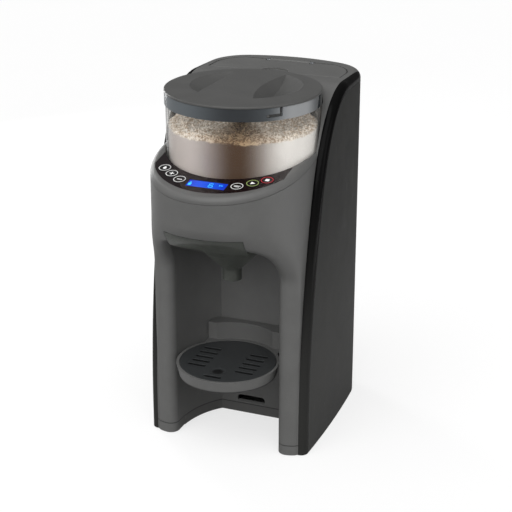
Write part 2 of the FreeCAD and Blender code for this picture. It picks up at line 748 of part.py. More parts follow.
def case_block(inset, z0, z1):
    """The gear train's pear-shaped plan, pushed up."""
    wide = CASE_R - inset
    narrow = CASE_NOSE_R - inset
    parts = [rod(wide, 0, HOPPER_Y, z0, z1), rod(wide, 0, IDLER_Y, z0, z1), rod(narrow, 0, MOTOR_Y, z0, z1)]
    parts.append(box(-wide, wide, HOPPER_Y, IDLER_Y, z0, z1))
    parts.append(box(-narrow, narrow, IDLER_Y, MOTOR_Y, z0, z1))
    return parts[0].fuse(parts[1:]).removeSplitter()


def gear(teeth, y, z, first_tooth):
    """A spur gear with straight-flanked teeth, its first tooth at a given angle in degrees."""
    pitch = teeth * GEAR_MODULE / 2
    tip = pitch + TOOTH_TIP * GEAR_MODULE
    root = pitch - TOOTH_ROOT * GEAR_MODULE
    step = 2 * math.pi / teeth
    points = []
    for tooth in range(teeth):
        centre = math.radians(first_tooth) + tooth * step
        for radius, share in ((root, -ROOT_SHARE), (tip, -TIP_SHARE), (tip, TIP_SHARE), (root, ROOT_SHARE)):
            angle = centre + share * step
            points.append(V(radius * math.cos(angle), y + radius * math.sin(angle), z))
    points.append(points[0])
    return Part.Face(Part.makePolygon(points)).extrude(V(0, 0, GEAR_FACE))


def hose_path(points):
    """Straight runs joined by tangent arcs."""
    edges = []
    start = points[0]
    for before, corner, after in zip(points, points[1:], points[2:]):
        into = (corner - before).normalize()
        out = (after - corner).normalize()
        half_turn = into.getAngle(out) / 2
        trim = HOSE_BEND * math.tan(half_turn)
        enter = corner - into * trim
        leave = corner + out * trim
        inward = (out - into).normalize()
        centre = corner + inward * (HOSE_BEND / math.cos(half_turn))
        edges.append(Part.makeLine(start, enter))
        edges.append(Part.Arc(enter, centre - inward * HOSE_BEND, leave).toShape())
        start = leave
    edges.append(Part.makeLine(start, points[-1]))
    return Part.Wire(edges)


def hose(*points):
    """A hose along straight runs and arcs, open at both ends."""
    path = hose_path(points)
    along = points[1] - points[0]
    outer = Part.Wire(Part.makeCircle(HOSE_R, points[0], along))
    inner = Part.Wire(Part.makeCircle(HOSE_BORE_R, points[0], along))
    return path.makePipeShell([outer], True, False).cut(path.makePipeShell([inner], True, False))


# ---------------------------------------------------------------- shells
def base_plate(outer, inner, mouth, rim):
    """The foot ring with its floor, open around the bottle bay."""
    zone = box(-FAR, FAR, -FAR, FAR, -5, BASE_SEAM_Z)
    hollow = inner.common(zone).cut([bay_block(WALL, -5, BAY_CEILING_Z), rim])
    base = outer.common(zone).cut([bay_block(0, -5, BAY_CEILING_Z), mouth, hollow])
    for x, y in FOOT_PLACES:
        for side in (-1, 1):
            base = base.cut(rod(FOOT_R, side * x, y, 0, FOOT_PROUD + FOOT_SEAT))
    for x, y in POST_PLACES:
        for side in (-1, 1):
            base = base.cut(rod(SCREW_R, side * x, y, 0, FLOOR_Z + 1))
            base = base.cut(rod(SCREW_HEAD_R, side * x, y, 0, FOOT_PROUD + SCREW_HEAD))
    return base


def bay_liner():
    """The oval wall of the bottle bay and the ceiling the funnel drawer slides on."""
    behind_rim = front_block(RIM_DEPTH, CONSOLE_DECK)
    liner = bay_block(WALL, -5, CEILING_TOP_Z).cut(bay_block(0, -5, BAY_CEILING_Z))
    liner = liner.common(box(-FAR, FAR, -FAR, FAR, BASE_SEAM_Z, CEILING_TOP_Z))
    liner = liner.common(behind_rim.fuse(box(-FAR, FAR, FRONT_BACK_Y - 1, FAR, 0, FAR)))
    edge = BAY_HALF_W + WALL
    liner = liner.fuse(behind_rim.common(box(-edge, edge, -FAR, BAY_OVAL_Y, BAY_CEILING_Z, CEILING_TOP_Z)))
    half = DISH_RIM_R + DRAWER_SLOT_CLEAR
    low = BAY_CEILING_Z - 1
    high = CEILING_TOP_Z + 1
    liner = liner.cut(rod(half, 0, SPOUT_Y, low, high).fuse(box(-half, half, -FAR, SPOUT_Y, low, high)))
    for drop in HOOK_DROPS:
        liner = liner.cut(hook_slot(drop))
    return liner.removeSplitter()


def front_shell(outer, inner, mouth, rim):
    """Pillars and head face below the console seam."""
    below = slab(-FAR, -HOOD_SEAM_DROP - SEAM).common(box(-FAR, FAR, -FAR, FAR, BASE_SEAM_Z, FAR))
    band = profile_block(0, -FAR, FAR).cut(profile_block(SHELL_FLANGE_Y, -FAR, FAR))
    skin = outer.cut(inner).common(band.fuse(front_block(0, 0)).common(below))
    skin = skin.cut(mouth).fuse(rim.common(below)).cut(drawer_notch())
    skin = skin.cut(box(-BAY_HALF_W - WALL, BAY_HALF_W + WALL, LINER_FRONT_Y, FAR, -FAR, CEILING_TOP_Z))
    cup_low = POCKET_FLOOR_Z - POCKET_FLOOR - GAP
    skin = skin.cut(box(-FAR, FAR, FRONT_BACK_Y, FAR, cup_low, FAR))
    return skin.cut(rod(CUP_R + GAP, 0, HOPPER_Y, cup_low, FAR))


def hood(outer, inner):
    """The top cover: console deck, the wall of the hopper's well, and the tank opening."""
    cover = outer.cut(inner).common(slab(-HOOD_SEAM_DROP, FAR))
    cup = rod(CUP_R, 0, HOPPER_Y, POCKET_FLOOR_Z, DECK_Z)
    cup = cup.fuse(rod(COLLAR_POCKET_R + POCKET_WALL, 0, HOPPER_Y, COLLAR_LOW_Z - 8, DECK_Z))
    cup = cup.common(outer)
    pocket = rod(POCKET_R, 0, HOPPER_Y, POCKET_FLOOR_Z, FAR)
    pocket = pocket.fuse(rod(COLLAR_POCKET_R, 0, HOPPER_Y, COLLAR_LOW_Z - 3, FAR))
    cover = cover.fuse(cup).cut(pocket)
    cover = cover.cut(lid_plate_block(LID_PLATE_CLEAR, LID_PLATE_Z - PAST, FAR))
    cover = cover.cut(crescent_block(0, POCKET_R - 1).common(slab(-PANEL_THICK, FAR)))
    return cover.cut(crescent_block(CONSOLE_LEDGE, CUP_R).common(slab(-CONSOLE_DECK - 1, FAR)))


def hopper_seat():
    """The floor under the hopper's well, with its powder chute and the hole for the drive dog."""
    floor = rod(CUP_R, 0, HOPPER_Y, POCKET_FLOOR_Z - POCKET_FLOOR, POCKET_FLOOR_Z)
    chute = rod(CHUTE_R, 0, SPOUT_Y, CHUTE_LOW_Z, POCKET_FLOOR_Z - 1)
    seat = floor.fuse(chute).cut(rod(CHUTE_R - CHUTE_WALL, 0, SPOUT_Y, 0, FAR))
    return seat.cut(rod(DOG_SIDE, 0, HOPPER_Y, 0, FAR))


def rear_cover(outer, inner):
    """The back of the core below the console seam's level."""
    zone = box(-FAR, FAR, FRAME_Y + FRAME_THICK, FAR, BASE_SEAM_Z, FAR)
    cover = outer.cut(inner).common(zone).common(slab(-FAR, -HOOD_SEAM_DROP - SEAM))
    return cover.cut(inlet_block(0))


def side_plate():
    """The right side plate, split into its glossy edge trim and its flat panel."""
    plate = envelope(0, FOOT_PROUD).common(box(CORE_X, FAR, -FAR, FAR, 0, FAR))
    trim = plate.cut(profile_block(TRIM_WIDTH, -FAR, FAR))
    pocket = profile_block(TRIM_WIDTH + SIDE_RIM, CORE_X - 1, CORE_X + SIDE_POCKET)
    pocket = pocket.common(box(0, FAR, -FAR, LID_PLATE_FRONT_Y, FLOOR_Z + SIDE_RIM, FAR))
    panel = plate.common(profile_block(TRIM_WIDTH, -FAR, FAR)).cut(pocket)
    groove = profile_block(TRIM_WIDTH, CORE_X + SIDE_POCKET, FAR)
    groove = groove.cut(profile_block(TRIM_WIDTH + SEAM, CORE_X + SIDE_POCKET, FAR))
    return trim, panel.cut(groove)


# ---------------------------------------------------------------- console
def console(inner):
    """Glossy crescent panel, display, six key caps and the board under them."""
    crescent = crescent_block(GAP / 2, POCKET_R + GAP)
    panel = crescent.common(slab(-PANEL_THICK, 0))
    half_w = LCD_WIDTH / 2
    half_d = LCD_DEPTH / 2
    window = box(-half_w, half_w, LCD_Y - half_d, LCD_Y + half_d, 0, FAR)
    panel = panel.cut(window)
    lcd = window.common(slab(-CONSOLE_DECK, -LCD_DROP))
    board = crescent_block(-BOARD_MARGIN, CUP_R).common(slab(-CONSOLE_DECK - BOARD_THICK, -CONSOLE_DECK))
    board = board.common(inner)
    keys = {}
    for number, (arc_turn, set_in) in enumerate(KEY_PLACES, 1):
        turn = math.radians(arc_turn) * KEY_ARC_R / CONSOLE_R
        x = (CONSOLE_R - set_in) * math.sin(turn)
        y = CONSOLE_Y - (CONSOLE_R - set_in) * math.cos(turn)
        for side, name in ((-1, "left"), (1, "right")):
            bottom = console_point(side * x, y, -CONSOLE_DECK + KEY_TRAVEL + KEY_CLEAR)
            cap_height = CONSOLE_DECK - KEY_TRAVEL - KEY_CLEAR + KEY_PROUD
            cap = Part.makeCylinder(KEY_R, cap_height, bottom, NORMAL)
            top = [e for e in cap.Edges if height_over_console(e.CenterOfMass) > KEY_PROUD - 0.01]
            cap = cap.makeFillet(KEY_EDGE_R, top)
            keys["key_%s_%d" % (name, number)] = cap
            start = console_point(side * x, y, -3)
            hole = Part.makeCylinder(KEY_R + KEY_CLEAR, 2 * PANEL_THICK, start, NORMAL)
            panel = panel.cut(hole)
    return panel, lcd, board, keys


# ---------------------------------------------------------------- hopper and lid
def slot_arc(radius, half_height, start, turn, z):
    """A curved bar following a circle about the hopper axis."""
    ring = tube(radius + 4, radius - 6, 0, HOPPER_Y, z - half_height, z + half_height)
    reach = 2 * radius
    corners = [V(0, 0, 0)]
    for share in (0, 0.5, 1):
        angle = math.radians(start + share * turn)
        corners.append(V(reach * math.cos(angle), reach * math.sin(angle), 0))
    corners.append(corners[0])
    wedge = Part.Face(Part.makePolygon(corners)).extrude(V(0, 0, FAR))
    wedge.translate(V(0, HOPPER_Y, 0))
    return ring.common(wedge)


def hopper():
    """Clear powder container, its collar with bayonet slots, and the heap of powder."""
    cup = rod(HOPPER_R, 0, HOPPER_Y, HOPPER_FLOOR_Z, COLLAR_LOW_Z)
    low = [e for e in cup.Edges if e.CenterOfMass.z < HOPPER_FLOOR_Z + 0.1]
    cup = cup.makeFillet(HOPPER_FOOT_R, low)
    cup = cup.cut(rod(HOPPER_INNER_R, 0, HOPPER_Y, HOPPER_INNER_Z, FAR))
    cup = cup.cut(rod(OUTLET_R, 0, SPOUT_Y, 0, FAR))
    cup = cup.cut(rod(ROTOR_NOSE_R, 0, HOPPER_Y, 0, FAR))

    collar = tube(COLLAR_R, COLLAR_INNER_R, 0, HOPPER_Y, COLLAR_LOW_Z, COLLAR_TOP_Z)
    half = LUG_R + SLOT_CLEAR
    width = math.degrees(half / COLLAR_R)
    for angle in LUG_ANGLES:
        collar = collar.cut(slot_arc(COLLAR_R, half, angle, SLOT_TURN, LUG_Z))
        rise = (COLLAR_TOP_Z + 1 - LUG_Z + half) / 2
        start = angle + SLOT_TURN - width
        collar = collar.cut(slot_arc(COLLAR_R, rise, start, 2 * width, LUG_Z - half + rise))
        collar = collar.cut(radial_pin(half, COLLAR_INNER_R - 2, COLLAR_R + 2, angle, LUG_Z))

    ball_r = ball_radius(HOPPER_INNER_R, POWDER_HEAP)
    heap_z = POWDER_EDGE_Z + POWDER_HEAP
    powder = rod(HOPPER_INNER_R, 0, HOPPER_Y, POWDER_LOW_Z, heap_z)
    powder = powder.common(Part.makeSphere(ball_r, V(0, HOPPER_Y, heap_z - ball_r)))
    return cup, collar, powder


def radial_pin(radius, start, end, angle, z):
    """A round pin pointing out from the hopper axis."""
    out = V(math.cos(math.radians(angle)), math.sin(math.radians(angle)), 0)
    return Part.makeCylinder(radius, end - start, V(0, HOPPER_Y, z) + out * start, out)


def lid():
    """Screw-on lid: a dished top crossed by a grip bar, a skirt with lugs, and its seal."""
    ball_r = ball_radius(DISH_R, DISH_DEPTH)
    y = HOPPER_Y + DISH_Y
    ball_centre = V(DISH_X, y, LID_TOP_Z - DISH_DEPTH + ball_r)
    below_top = box(-FAR, FAR, -FAR, FAR, 0, LID_TOP_Z)
    bowl = Part.makeSphere(ball_r + LID_SKIN, ball_centre).common(below_top)

    plate = rod(LID_R, 0, HOPPER_Y, LID_LOW_Z, LID_TOP_Z)
    plate = plate.makeFillet(LID_EDGE_R, [e for e in plate.Edges if e.CenterOfMass.z > LID_TOP_Z - 0.01])
    skirt = tube(SKIRT_R, SKIRT_R - SKIRT_WALL, 0, HOPPER_Y, SKIRT_LOW_Z, LID_LOW_Z + 0.5)
    bowl = bowl.common(rod(SKIRT_R - 1, 0, HOPPER_Y, 0, FAR))

    low_z = LID_TOP_Z - 2 * DISH_DEPTH
    waist_x = GRIP_RIGHT_X + GRIP_WAIST_R
    waist_y = HOPPER_Y + GRIP_RIGHT_Y

    def right_side(grow):
        radius = GRIP_WAIST_R + grow
        base = V(waist_x, waist_y, low_z)
        return Part.makeCone(radius - 2 * GRIP_DRAFT, radius, 2 * DISH_DEPTH, base, UP)

    ball = Part.makeSphere(ball_r, ball_centre).common(below_top)
    left_scoop = ball.common(box(-FAR, GRIP_LEFT_X, -FAR, FAR, 0, FAR))
    right_scoop = ball.common(right_side(0))
    under_bar = box(GRIP_LEFT_X + LID_SKIN, FAR, -FAR, FAR, 0, LID_TOP_Z - LID_SKIN)
    hollow = ball.common(under_bar).cut(right_side(LID_SKIN))
    hollow = hollow.fuse(hollow_below(hollow))
    top = plate.fuse([skirt, bowl])
    top = top.cut(left_scoop).cut(right_scoop).cut(hollow)
    for angle in LUG_ANGLES:
        top = top.fuse(radial_pin(LUG_R, SKIRT_R - 1, COLLAR_R - 0.2, angle, LUG_Z))
    seal = tube(SKIRT_R - 0.1, SKIRT_R - SKIRT_WALL, 0, HOPPER_Y, SKIRT_LOW_Z - SEAL_THICK, SKIRT_LOW_Z)
    return top, seal


def hollow_below(hollow):
    """The hollow repeated lower down, so that the bar is open from below."""
    lower = hollow.copy()
    lower.translate(V(0, 0, -LID_SKIN - 1))
    return lower


def rotor():
    """Dosing wheel with its hub, and the stirrer that sits on it."""
    wheel = rod(WHEEL_R, 0, HOPPER_Y, WHEEL_Z, STIR_Z)
    for number in range(WHEEL_POCKETS):
        angle = 2 * math.pi * (number + 0.5) / WHEEL_POCKETS - math.pi / 2
        x = OUTLET_RADIUS * math.cos(angle)
        y = HOPPER_Y + OUTLET_RADIUS * math.sin(angle)
        wheel = wheel.cut(rod(OUTLET_R, x, y, WHEEL_Z - 1, STIR_Z + 1))
    hub = rod(ROTOR_HUB_R, 0, HOPPER_Y, WHEEL_Z, STIR_TOP_Z)
    nose = rod(ROTOR_NOSE_R - RUNNING_CLEAR, 0, HOPPER_Y, HOPPER_FLOOR_Z + GAP, WHEEL_Z + 1)
    half = DOG_SIDE / 2 + DOG_CLEAR
    socket = box(-half, half, HOPPER_Y - half, HOPPER_Y + half, 0, DOG_TOP_Z + ROTOR_FLOAT)
    wheel = wheel.fuse([hub, nose]).cut(socket)

    stirrer = rod(ROTOR_HUB_R + STIR_ARM, 0, HOPPER_Y, STIR_Z, STIR_TOP_Z)
    for number in range(STIR_ARMS):
        arm = box(0, STIR_R, -STIR_ARM / 2, STIR_ARM / 2, STIR_Z, STIR_TOP_Z)
        arm.rotate(V(0, 0, 0), UP, 360 / STIR_ARMS * number + 30)
        arm.translate(V(0, HOPPER_Y, 0))
        stirrer = stirrer.fuse(arm)
    stirrer = stirrer.cut(rod(ROTOR_HUB_R, 0, HOPPER_Y, 0, FAR))
    return wheel, stirrer.removeSplitter()


# ---------------------------------------------------------------- drive
def drive():
    """Two-stage gear train from the motor to the square dog under the hopper."""
    case = case_block(0, CASE_LOW_Z, CASE_TOP_Z).cut(case_block(CASE_WALL, CASE_LOW_Z + CASE_WALL, FAR))
    cover = case_block(0, CASE_TOP_Z, COVER_TOP_Z)
    shaft_hole = rod(SHAFT_R + RUNNING_CLEAR, 0, HOPPER_Y, 0, FAR)
    case = case.cut(shaft_hole).cut(rod(SHAFT_R / 2 + RUNNING_CLEAR, 0, MOTOR_Y, 0, FAR))
    cover = cover.cut(shaft_hole)

    half = DOG_SIDE / 2
    dog_low = COVER_TOP_Z + GEAR_SPACE
    dog = box(-half, half, HOPPER_Y - half, HOPPER_Y + half, dog_low, DOG_TOP_Z)
    main_gear = gear(WHEEL_TEETH, HOPPER_Y, HIGH_GEAR_Z, 90)
    main_gear = main_gear.fuse(rod(SHAFT_R, 0, HOPPER_Y, CASE_LOW_Z + GAP, dog_low))

    idler = gear(WHEEL_TEETH, IDLER_Y, LOW_GEAR_Z, 90)
    idler = idler.fuse(gear(PINION_TEETH, IDLER_Y, HIGH_GEAR_Z, PINION_FIRST))
    idler = idler.fuse(rod(SHAFT_R + 1, 0, IDLER_Y, LOW_GEAR_Z, HIGH_GEAR_Z))
    idler = idler.cut(rod(SHAFT_R - 1 + RUNNING_CLEAR, 0, IDLER_Y, 0, FAR))
    idler_pin = rod(SHAFT_R - 1, 0, IDLER_Y, CASE_LOW_Z + CASE_WALL, CASE_TOP_Z)

    pinion = gear(PINION_TEETH, MOTOR_Y, LOW_GEAR_Z, PINION_FIRST)
    pinion = pinion.fuse(rod(SHAFT_R / 2, 0, MOTOR_Y, CASE_LOW_Z - MOTOR_SHAFT, LOW_GEAR_Z + 1))
    motor = rod(MOTOR_R, 0, MOTOR_Y, CASE_LOW_Z - MOTOR_LENGTH, CASE_LOW_Z)
    motor = motor.cut(rod(SHAFT_R / 2 + RUNNING_CLEAR, 0, MOTOR_Y, CASE_LOW_Z - MOTOR_SHAFT - 1, FAR))
    return {
        "gearbox_case": case,
        "gearbox_cover": cover,
        "drive_gear": main_gear,
        "drive_dog": dog,
        "idler_gear": idler,
        "idler_pin": idler_pin,
        "motor_pinion": pinion,
        "drive_motor": motor,
    }


# ---------------------------------------------------------------- funnel drawer
def funnel_drawer(outer, inner):
    """Smoky funnel on a sliding flange behind its curved front, with a cover plate."""
    w = FUNNEL_WALL
    slope = math.sqrt(2) * w
    profile = [
        (SPOUT_R, SPOUT_LOW_Z), (SPOUT_R, SPOUT_TOP_Z), (CONE_R, CONE_Z), (DISH_RIM_R, DISH_RIM_Z),
        (DISH_RIM_R, FLANGE_Z + 0.5), (DISH_RIM_R - w, FLANGE_Z + 0.5), (DISH_RIM_R - w, DISH_RIM_Z + w / 2),
        (CONE_R - w, CONE_Z + w / 2), (SPOUT_R - w, SPOUT_TOP_Z + slope - w), (SPOUT_R - w, SPOUT_LOW_Z),
    ]
    bowl = turned(profile, 0, SPOUT_Y)
    flange = box(-FLANGE_HALF_W, FLANGE_HALF_W, -FAR, FLANGE_BACK_Y, FLANGE_Z, FLANGE_TOP_Z)
    rear = [e for e in flange.Edges if upright(e) and middle(e).y > FLANGE_BACK_Y - 1]
    flange = flange.makeFillet(FLANGE_CORNER_R, rear).common(outer)
    flange = flange.cut(rod(DISH_RIM_R - w, 0, SPOUT_Y, 0, FAR))
    fascia = box(-FASCIA_HALF_W, FASCIA_HALF_W, -FAR, SPOUT_Y - DISH_RIM_R / 2, FLANGE_Z, FASCIA_TOP_Z)
    fascia = outer.cut(inner).common(fascia)
    drawer = bowl.fuse([flange, fascia])
    cover = rod(DISH_RIM_R + COVER_LAP, 0, SPOUT_Y, FLANGE_TOP_Z, FLANGE_TOP_Z + COVER_THICK)
    cover = cover.cut(rod(COVER_HOLE_R, 0, SPOUT_Y, 0, FAR))
    cover = cover.cut(rod(NOZZLE_R + 1, HEATER_X, NOZZLE_Y, 0, FAR))
    return drawer, cover


# ---------------------------------------------------------------- cup tray
def tray():
    """Round drip tray with a saddle and tongue against the back wall, and its slotted grate."""
    outline = [(0, TRAY_LOW_Z), (TRAY_FOOT_R, TRAY_LOW_Z), (TRAY_R, TRAY_TOP_Z), (0, TRAY_TOP_Z)]
    body = turned(outline, 0, TRAY_Y)
    rear_y = BAY_BACK_Y - SADDLE_CLEAR
    saddle = box(-SADDLE_HALF_W, SADDLE_HALF_W, TRAY_Y, rear_y, TRAY_LOW_Z, TRAY_TOP_Z)
    back = box(-SADDLE_HALF_W, SADDLE_HALF_W, rear_y - SADDLE_DEEP, rear_y, TRAY_LOW_Z, SADDLE_TOP_Z)
    saddle = saddle.fuse(back).common(bay_block(-SADDLE_CLEAR, TRAY_LOW_Z, SADDLE_TOP_Z))
    saddle = saddle.cut(rod(TRAY_R + SADDLE_ROUND, 0, TRAY_Y, TRAY_TOP_Z, FAR))
    end_y = rear_y + TONGUE_LENGTH
    tongue = box(-TONGUE_HALF_W, TONGUE_HALF_W, rear_y - 1, end_y, TONGUE_Z, TONGUE_Z + TONGUE_THICK)
    ledge_z = TRAY_TOP_Z - GRATE_THICK
    body = body.fuse([saddle, tongue])
    body = body.cut(rod(GRATE_R + GRATE_CLEAR, 0, TRAY_Y, ledge_z, TRAY_TOP_Z + 1))
    body = body.cut(rod(GRATE_R - TRAY_LIP, 0, TRAY_Y, TRAY_LOW_Z + TRAY_WALL, FAR))

    grate = rod(GRATE_R, 0, TRAY_Y, ledge_z, TRAY_TOP_Z)
    grate = grate.makeFillet(0.6, [e for e in grate.Edges if e.CenterOfMass.z > TRAY_TOP_Z - 0.01])
    for row in SLOT_ROWS:
        for side in (-1, 1):
            grate = grate.cut(long_hole(side * SLOT_IN_X, side * SLOT_OUT_X, TRAY_Y + row, ledge_z))
    grate = grate.cut(long_hole(-FRONT_SLOT_X, FRONT_SLOT_X, TRAY_Y + FRONT_SLOT_Y, ledge_z))
    ball_r = ball_radius(THUMB_R, THUMB_DEPTH)
    grate = grate.cut(Part.makeSphere(ball_r, V(0, TRAY_Y + THUMB_Y, TRAY_TOP_Z - THUMB_DEPTH + ball_r)))
    return body, grate


def long_hole(x0, x1, y, z):
    """A straight slot with round ends, right through the grate."""
    half = SLOT_WIDTH / 2
    left, right = sorted((x0, x1))
    slot = box(left + half, right - half, y - half, y + half, z - 1, z + 2 * GRATE_THICK)
    ends = [rod(half, x, y, z - 1, z + 2 * GRATE_THICK) for x in (left + half, right - half)]
    return slot.fuse(ends)


# ---------------------------------------------------------------- water tank
def tank():
    """Tank with its neck and hinge ears, lid, hinge pin, bottom valve, spring and seal."""
    body = tank_block(0, TANK_LOW_Z, TANK_TOP_Z).cut(tank_block(TANK_WALL, TANK_LOW_Z + TANK_WALL, FAR))
    neck = tube(TANK_NECK_R, TANK_NECK_R - TANK_NECK_WALL, 0, TANK_Y, NECK_LOW_Z, TANK_LOW_Z)
    body = body.fuse(neck).cut(rod(VALVE_HOLE_R, 0, TANK_Y, 0, FAR))
    inside = HINGE_HALF_W + HINGE_SIDE_GAP
    plate = lid_plate_block(0, LID_PLATE_Z, DECK_Z)
    plate = plate.makeFillet(LID_PLATE_ROUND, [e for e in plate.Edges if e.BoundBox.ZMin > DECK_Z - 0.01])
    plate = plate.cut(rod(NOTCH_R, 0, LID_PLATE_FRONT_Y, DECK_Z - NOTCH_DEEP, FAR))
    for side in (-1, 1):
        x0, x1 = sorted((side * inside, side * (inside + HINGE_EAR)))
        ear = box(x0, x1, TANK_BACK_Y - 1, HINGE_Y + HINGE_KNUCKLE_R, EAR_LOW_Z, HINGE_Z)
        ear = ear.fuse(barrel(HINGE_KNUCKLE_R, x0, x1))
        body = body.fuse(ear)
        gap = HINGE_SIDE_GAP
        plate = plate.cut(box(x0 - gap, x1 + gap, TANK_BACK_Y - 2, FAR, 0, FAR))
    lip_out = TANK_WALL + LIP_CLEAR
    lip = tank_block(lip_out, LID_PLATE_Z - LIP_DROP, LID_PLATE_Z)
    lip = lip.cut(tank_block(lip_out + LIP_WALL, 0, FAR))
    knuckle = barrel(HINGE_KNUCKLE_R, -HINGE_HALF_W, HINGE_HALF_W)
    pin = barrel(HINGE_PIN_R, -inside - HINGE_EAR, inside + HINGE_EAR)
    bore = barrel(HINGE_PIN_R + RUNNING_CLEAR, -FAR, FAR)
    plate = plate.fuse([lip, knuckle]).cut(bore)
    body = body.cut(barrel(HINGE_PIN_R, -FAR, FAR))

    floor_top = TANK_LOW_Z + TANK_WALL
    stem_low = NECK_LOW_Z - COLLET_THICK
    valve = rod(VALVE_R, 0, TANK_Y, floor_top, floor_top + VALVE_THICK)
    valve = valve.fuse(rod(STEM_R, 0, TANK_Y, stem_low, floor_top + 1))
    valve = valve.fuse(rod(COLLET_R, 0, TANK_Y, stem_low, NECK_LOW_Z))
    height = TANK_NECK_DROP - 2 * SPRING_WIRE_R
    helix = Part.makeHelix(height / SPRING_TURNS, height, SPRING_R)
    section = Part.Wire(Part.makeCircle(SPRING_WIRE_R, V(SPRING_R, 0, 0), V(0, 1, 0)))
    spring = Part.Wire(helix).makePipeShell([section], True, True)
    spring.translate(V(0, TANK_Y, NECK_LOW_Z + SPRING_WIRE_R))
    seal_z = SHELF_TOP_Z - 2 * TANK_SEAL_THICK
    outer = SOCKET_R - SOCKET_WALL - SEAL_CLEAR
    seal = tube(outer, TANK_NECK_R, 0, TANK_Y, seal_z, seal_z + TANK_SEAL_THICK)
    return {
        "water_tank": body,
        "tank_lid": plate,
        "tank_hinge_pin": pin,
        "tank_valve": valve,
        "valve_spring": spring,
        "tank_seal": seal,
    }


def barrel(radius, x0, x1):
    """A cylinder along the tank lid's hinge axis."""
    return Part.makeCylinder(radius, x1 - x0, V(x0, HINGE_Y, HINGE_Z), V(1, 0, 0))


# ---------------------------------------------------------------- frame and plumbing
def inlet_block(inset):
    """The power inlet's outline, pushed in through the rear cover."""
    half_w = INLET_HALF_W - inset
    half_h = INLET_HALF_H - inset
    return box(-half_w, half_w, REAR_Y - INLET_DEPTH, REAR_Y, INLET_Z - half_h, INLET_Z + half_h)


def chassis():
    """Inner frame: rails and posts on the base, a cross wall, the gearbox arm and the tank shelf."""
    back = FRAME_Y + FRAME_THICK
    frame = box(-FRAME_HALF_W, FRAME_HALF_W, FRAME_Y, back, FLOOR_Z, CASE_LOW_Z)
    window = FRAME_WINDOW_HALF_W
    sill_z = FLOOR_Z + RAIL_HEIGHT
    frame = frame.cut(box(-window, window, FRAME_Y - 1, back + 1, sill_z, FRAME_WINDOW_TOP_Z))
    arm = box(-ARM_HALF_W, ARM_HALF_W, ARM_FRONT_Y, back, CASE_LOW_Z - ARM_THICK, CASE_LOW_Z)
    arm = arm.cut(rod(MOTOR_R + GAP, 0, MOTOR_Y, 0, FAR)).cut(rod(SHAFT_R + 1, 0, HOPPER_Y, 0, FAR))
    shelf = box(-SHELF_HALF_W, SHELF_HALF_W, FRAME_Y, SHELF_BACK_Y, SHELF_TOP_Z - SHELF_THICK, SHELF_TOP_Z)
    shelf = shelf.cut(rod(SOCKET_R, 0, TANK_Y, 0, FAR))
    pieces = [arm, shelf]
    for side in (-1, 1):
        x0, x1 = sorted((side * RAIL_X, side * (RAIL_X + RAIL_WIDTH)))
        pieces.append(box(x0, x1, POST_PLACES[0][1], back, FLOOR_Z, FLOOR_Z + RAIL_HEIGHT))
        for x, y in POST_PLACES:
            pieces.append(rod(POST_R, side * x, y, FLOOR_Z, FLOOR_Z + POST_HEIGHT))
    pieces.append(box(HEATER_X - BRACKET_HALF_W, HEATER_X + BRACKET_HALF_W, SERVICE_Y + HEATER_HALF_D, FRAME_Y,
                      BRACKET_LOW_Z, BRACKET_HIGH_Z))
    frame = frame.fuse(pieces)
    for side in (-1, 1):
        for x, y in POST_PLACES:
            frame = frame.cut(rod(SCREW_R, side * x, y, 0, FOOT_PROUD + SCREW_HEAD + SCREW_LENGTH))
    return frame


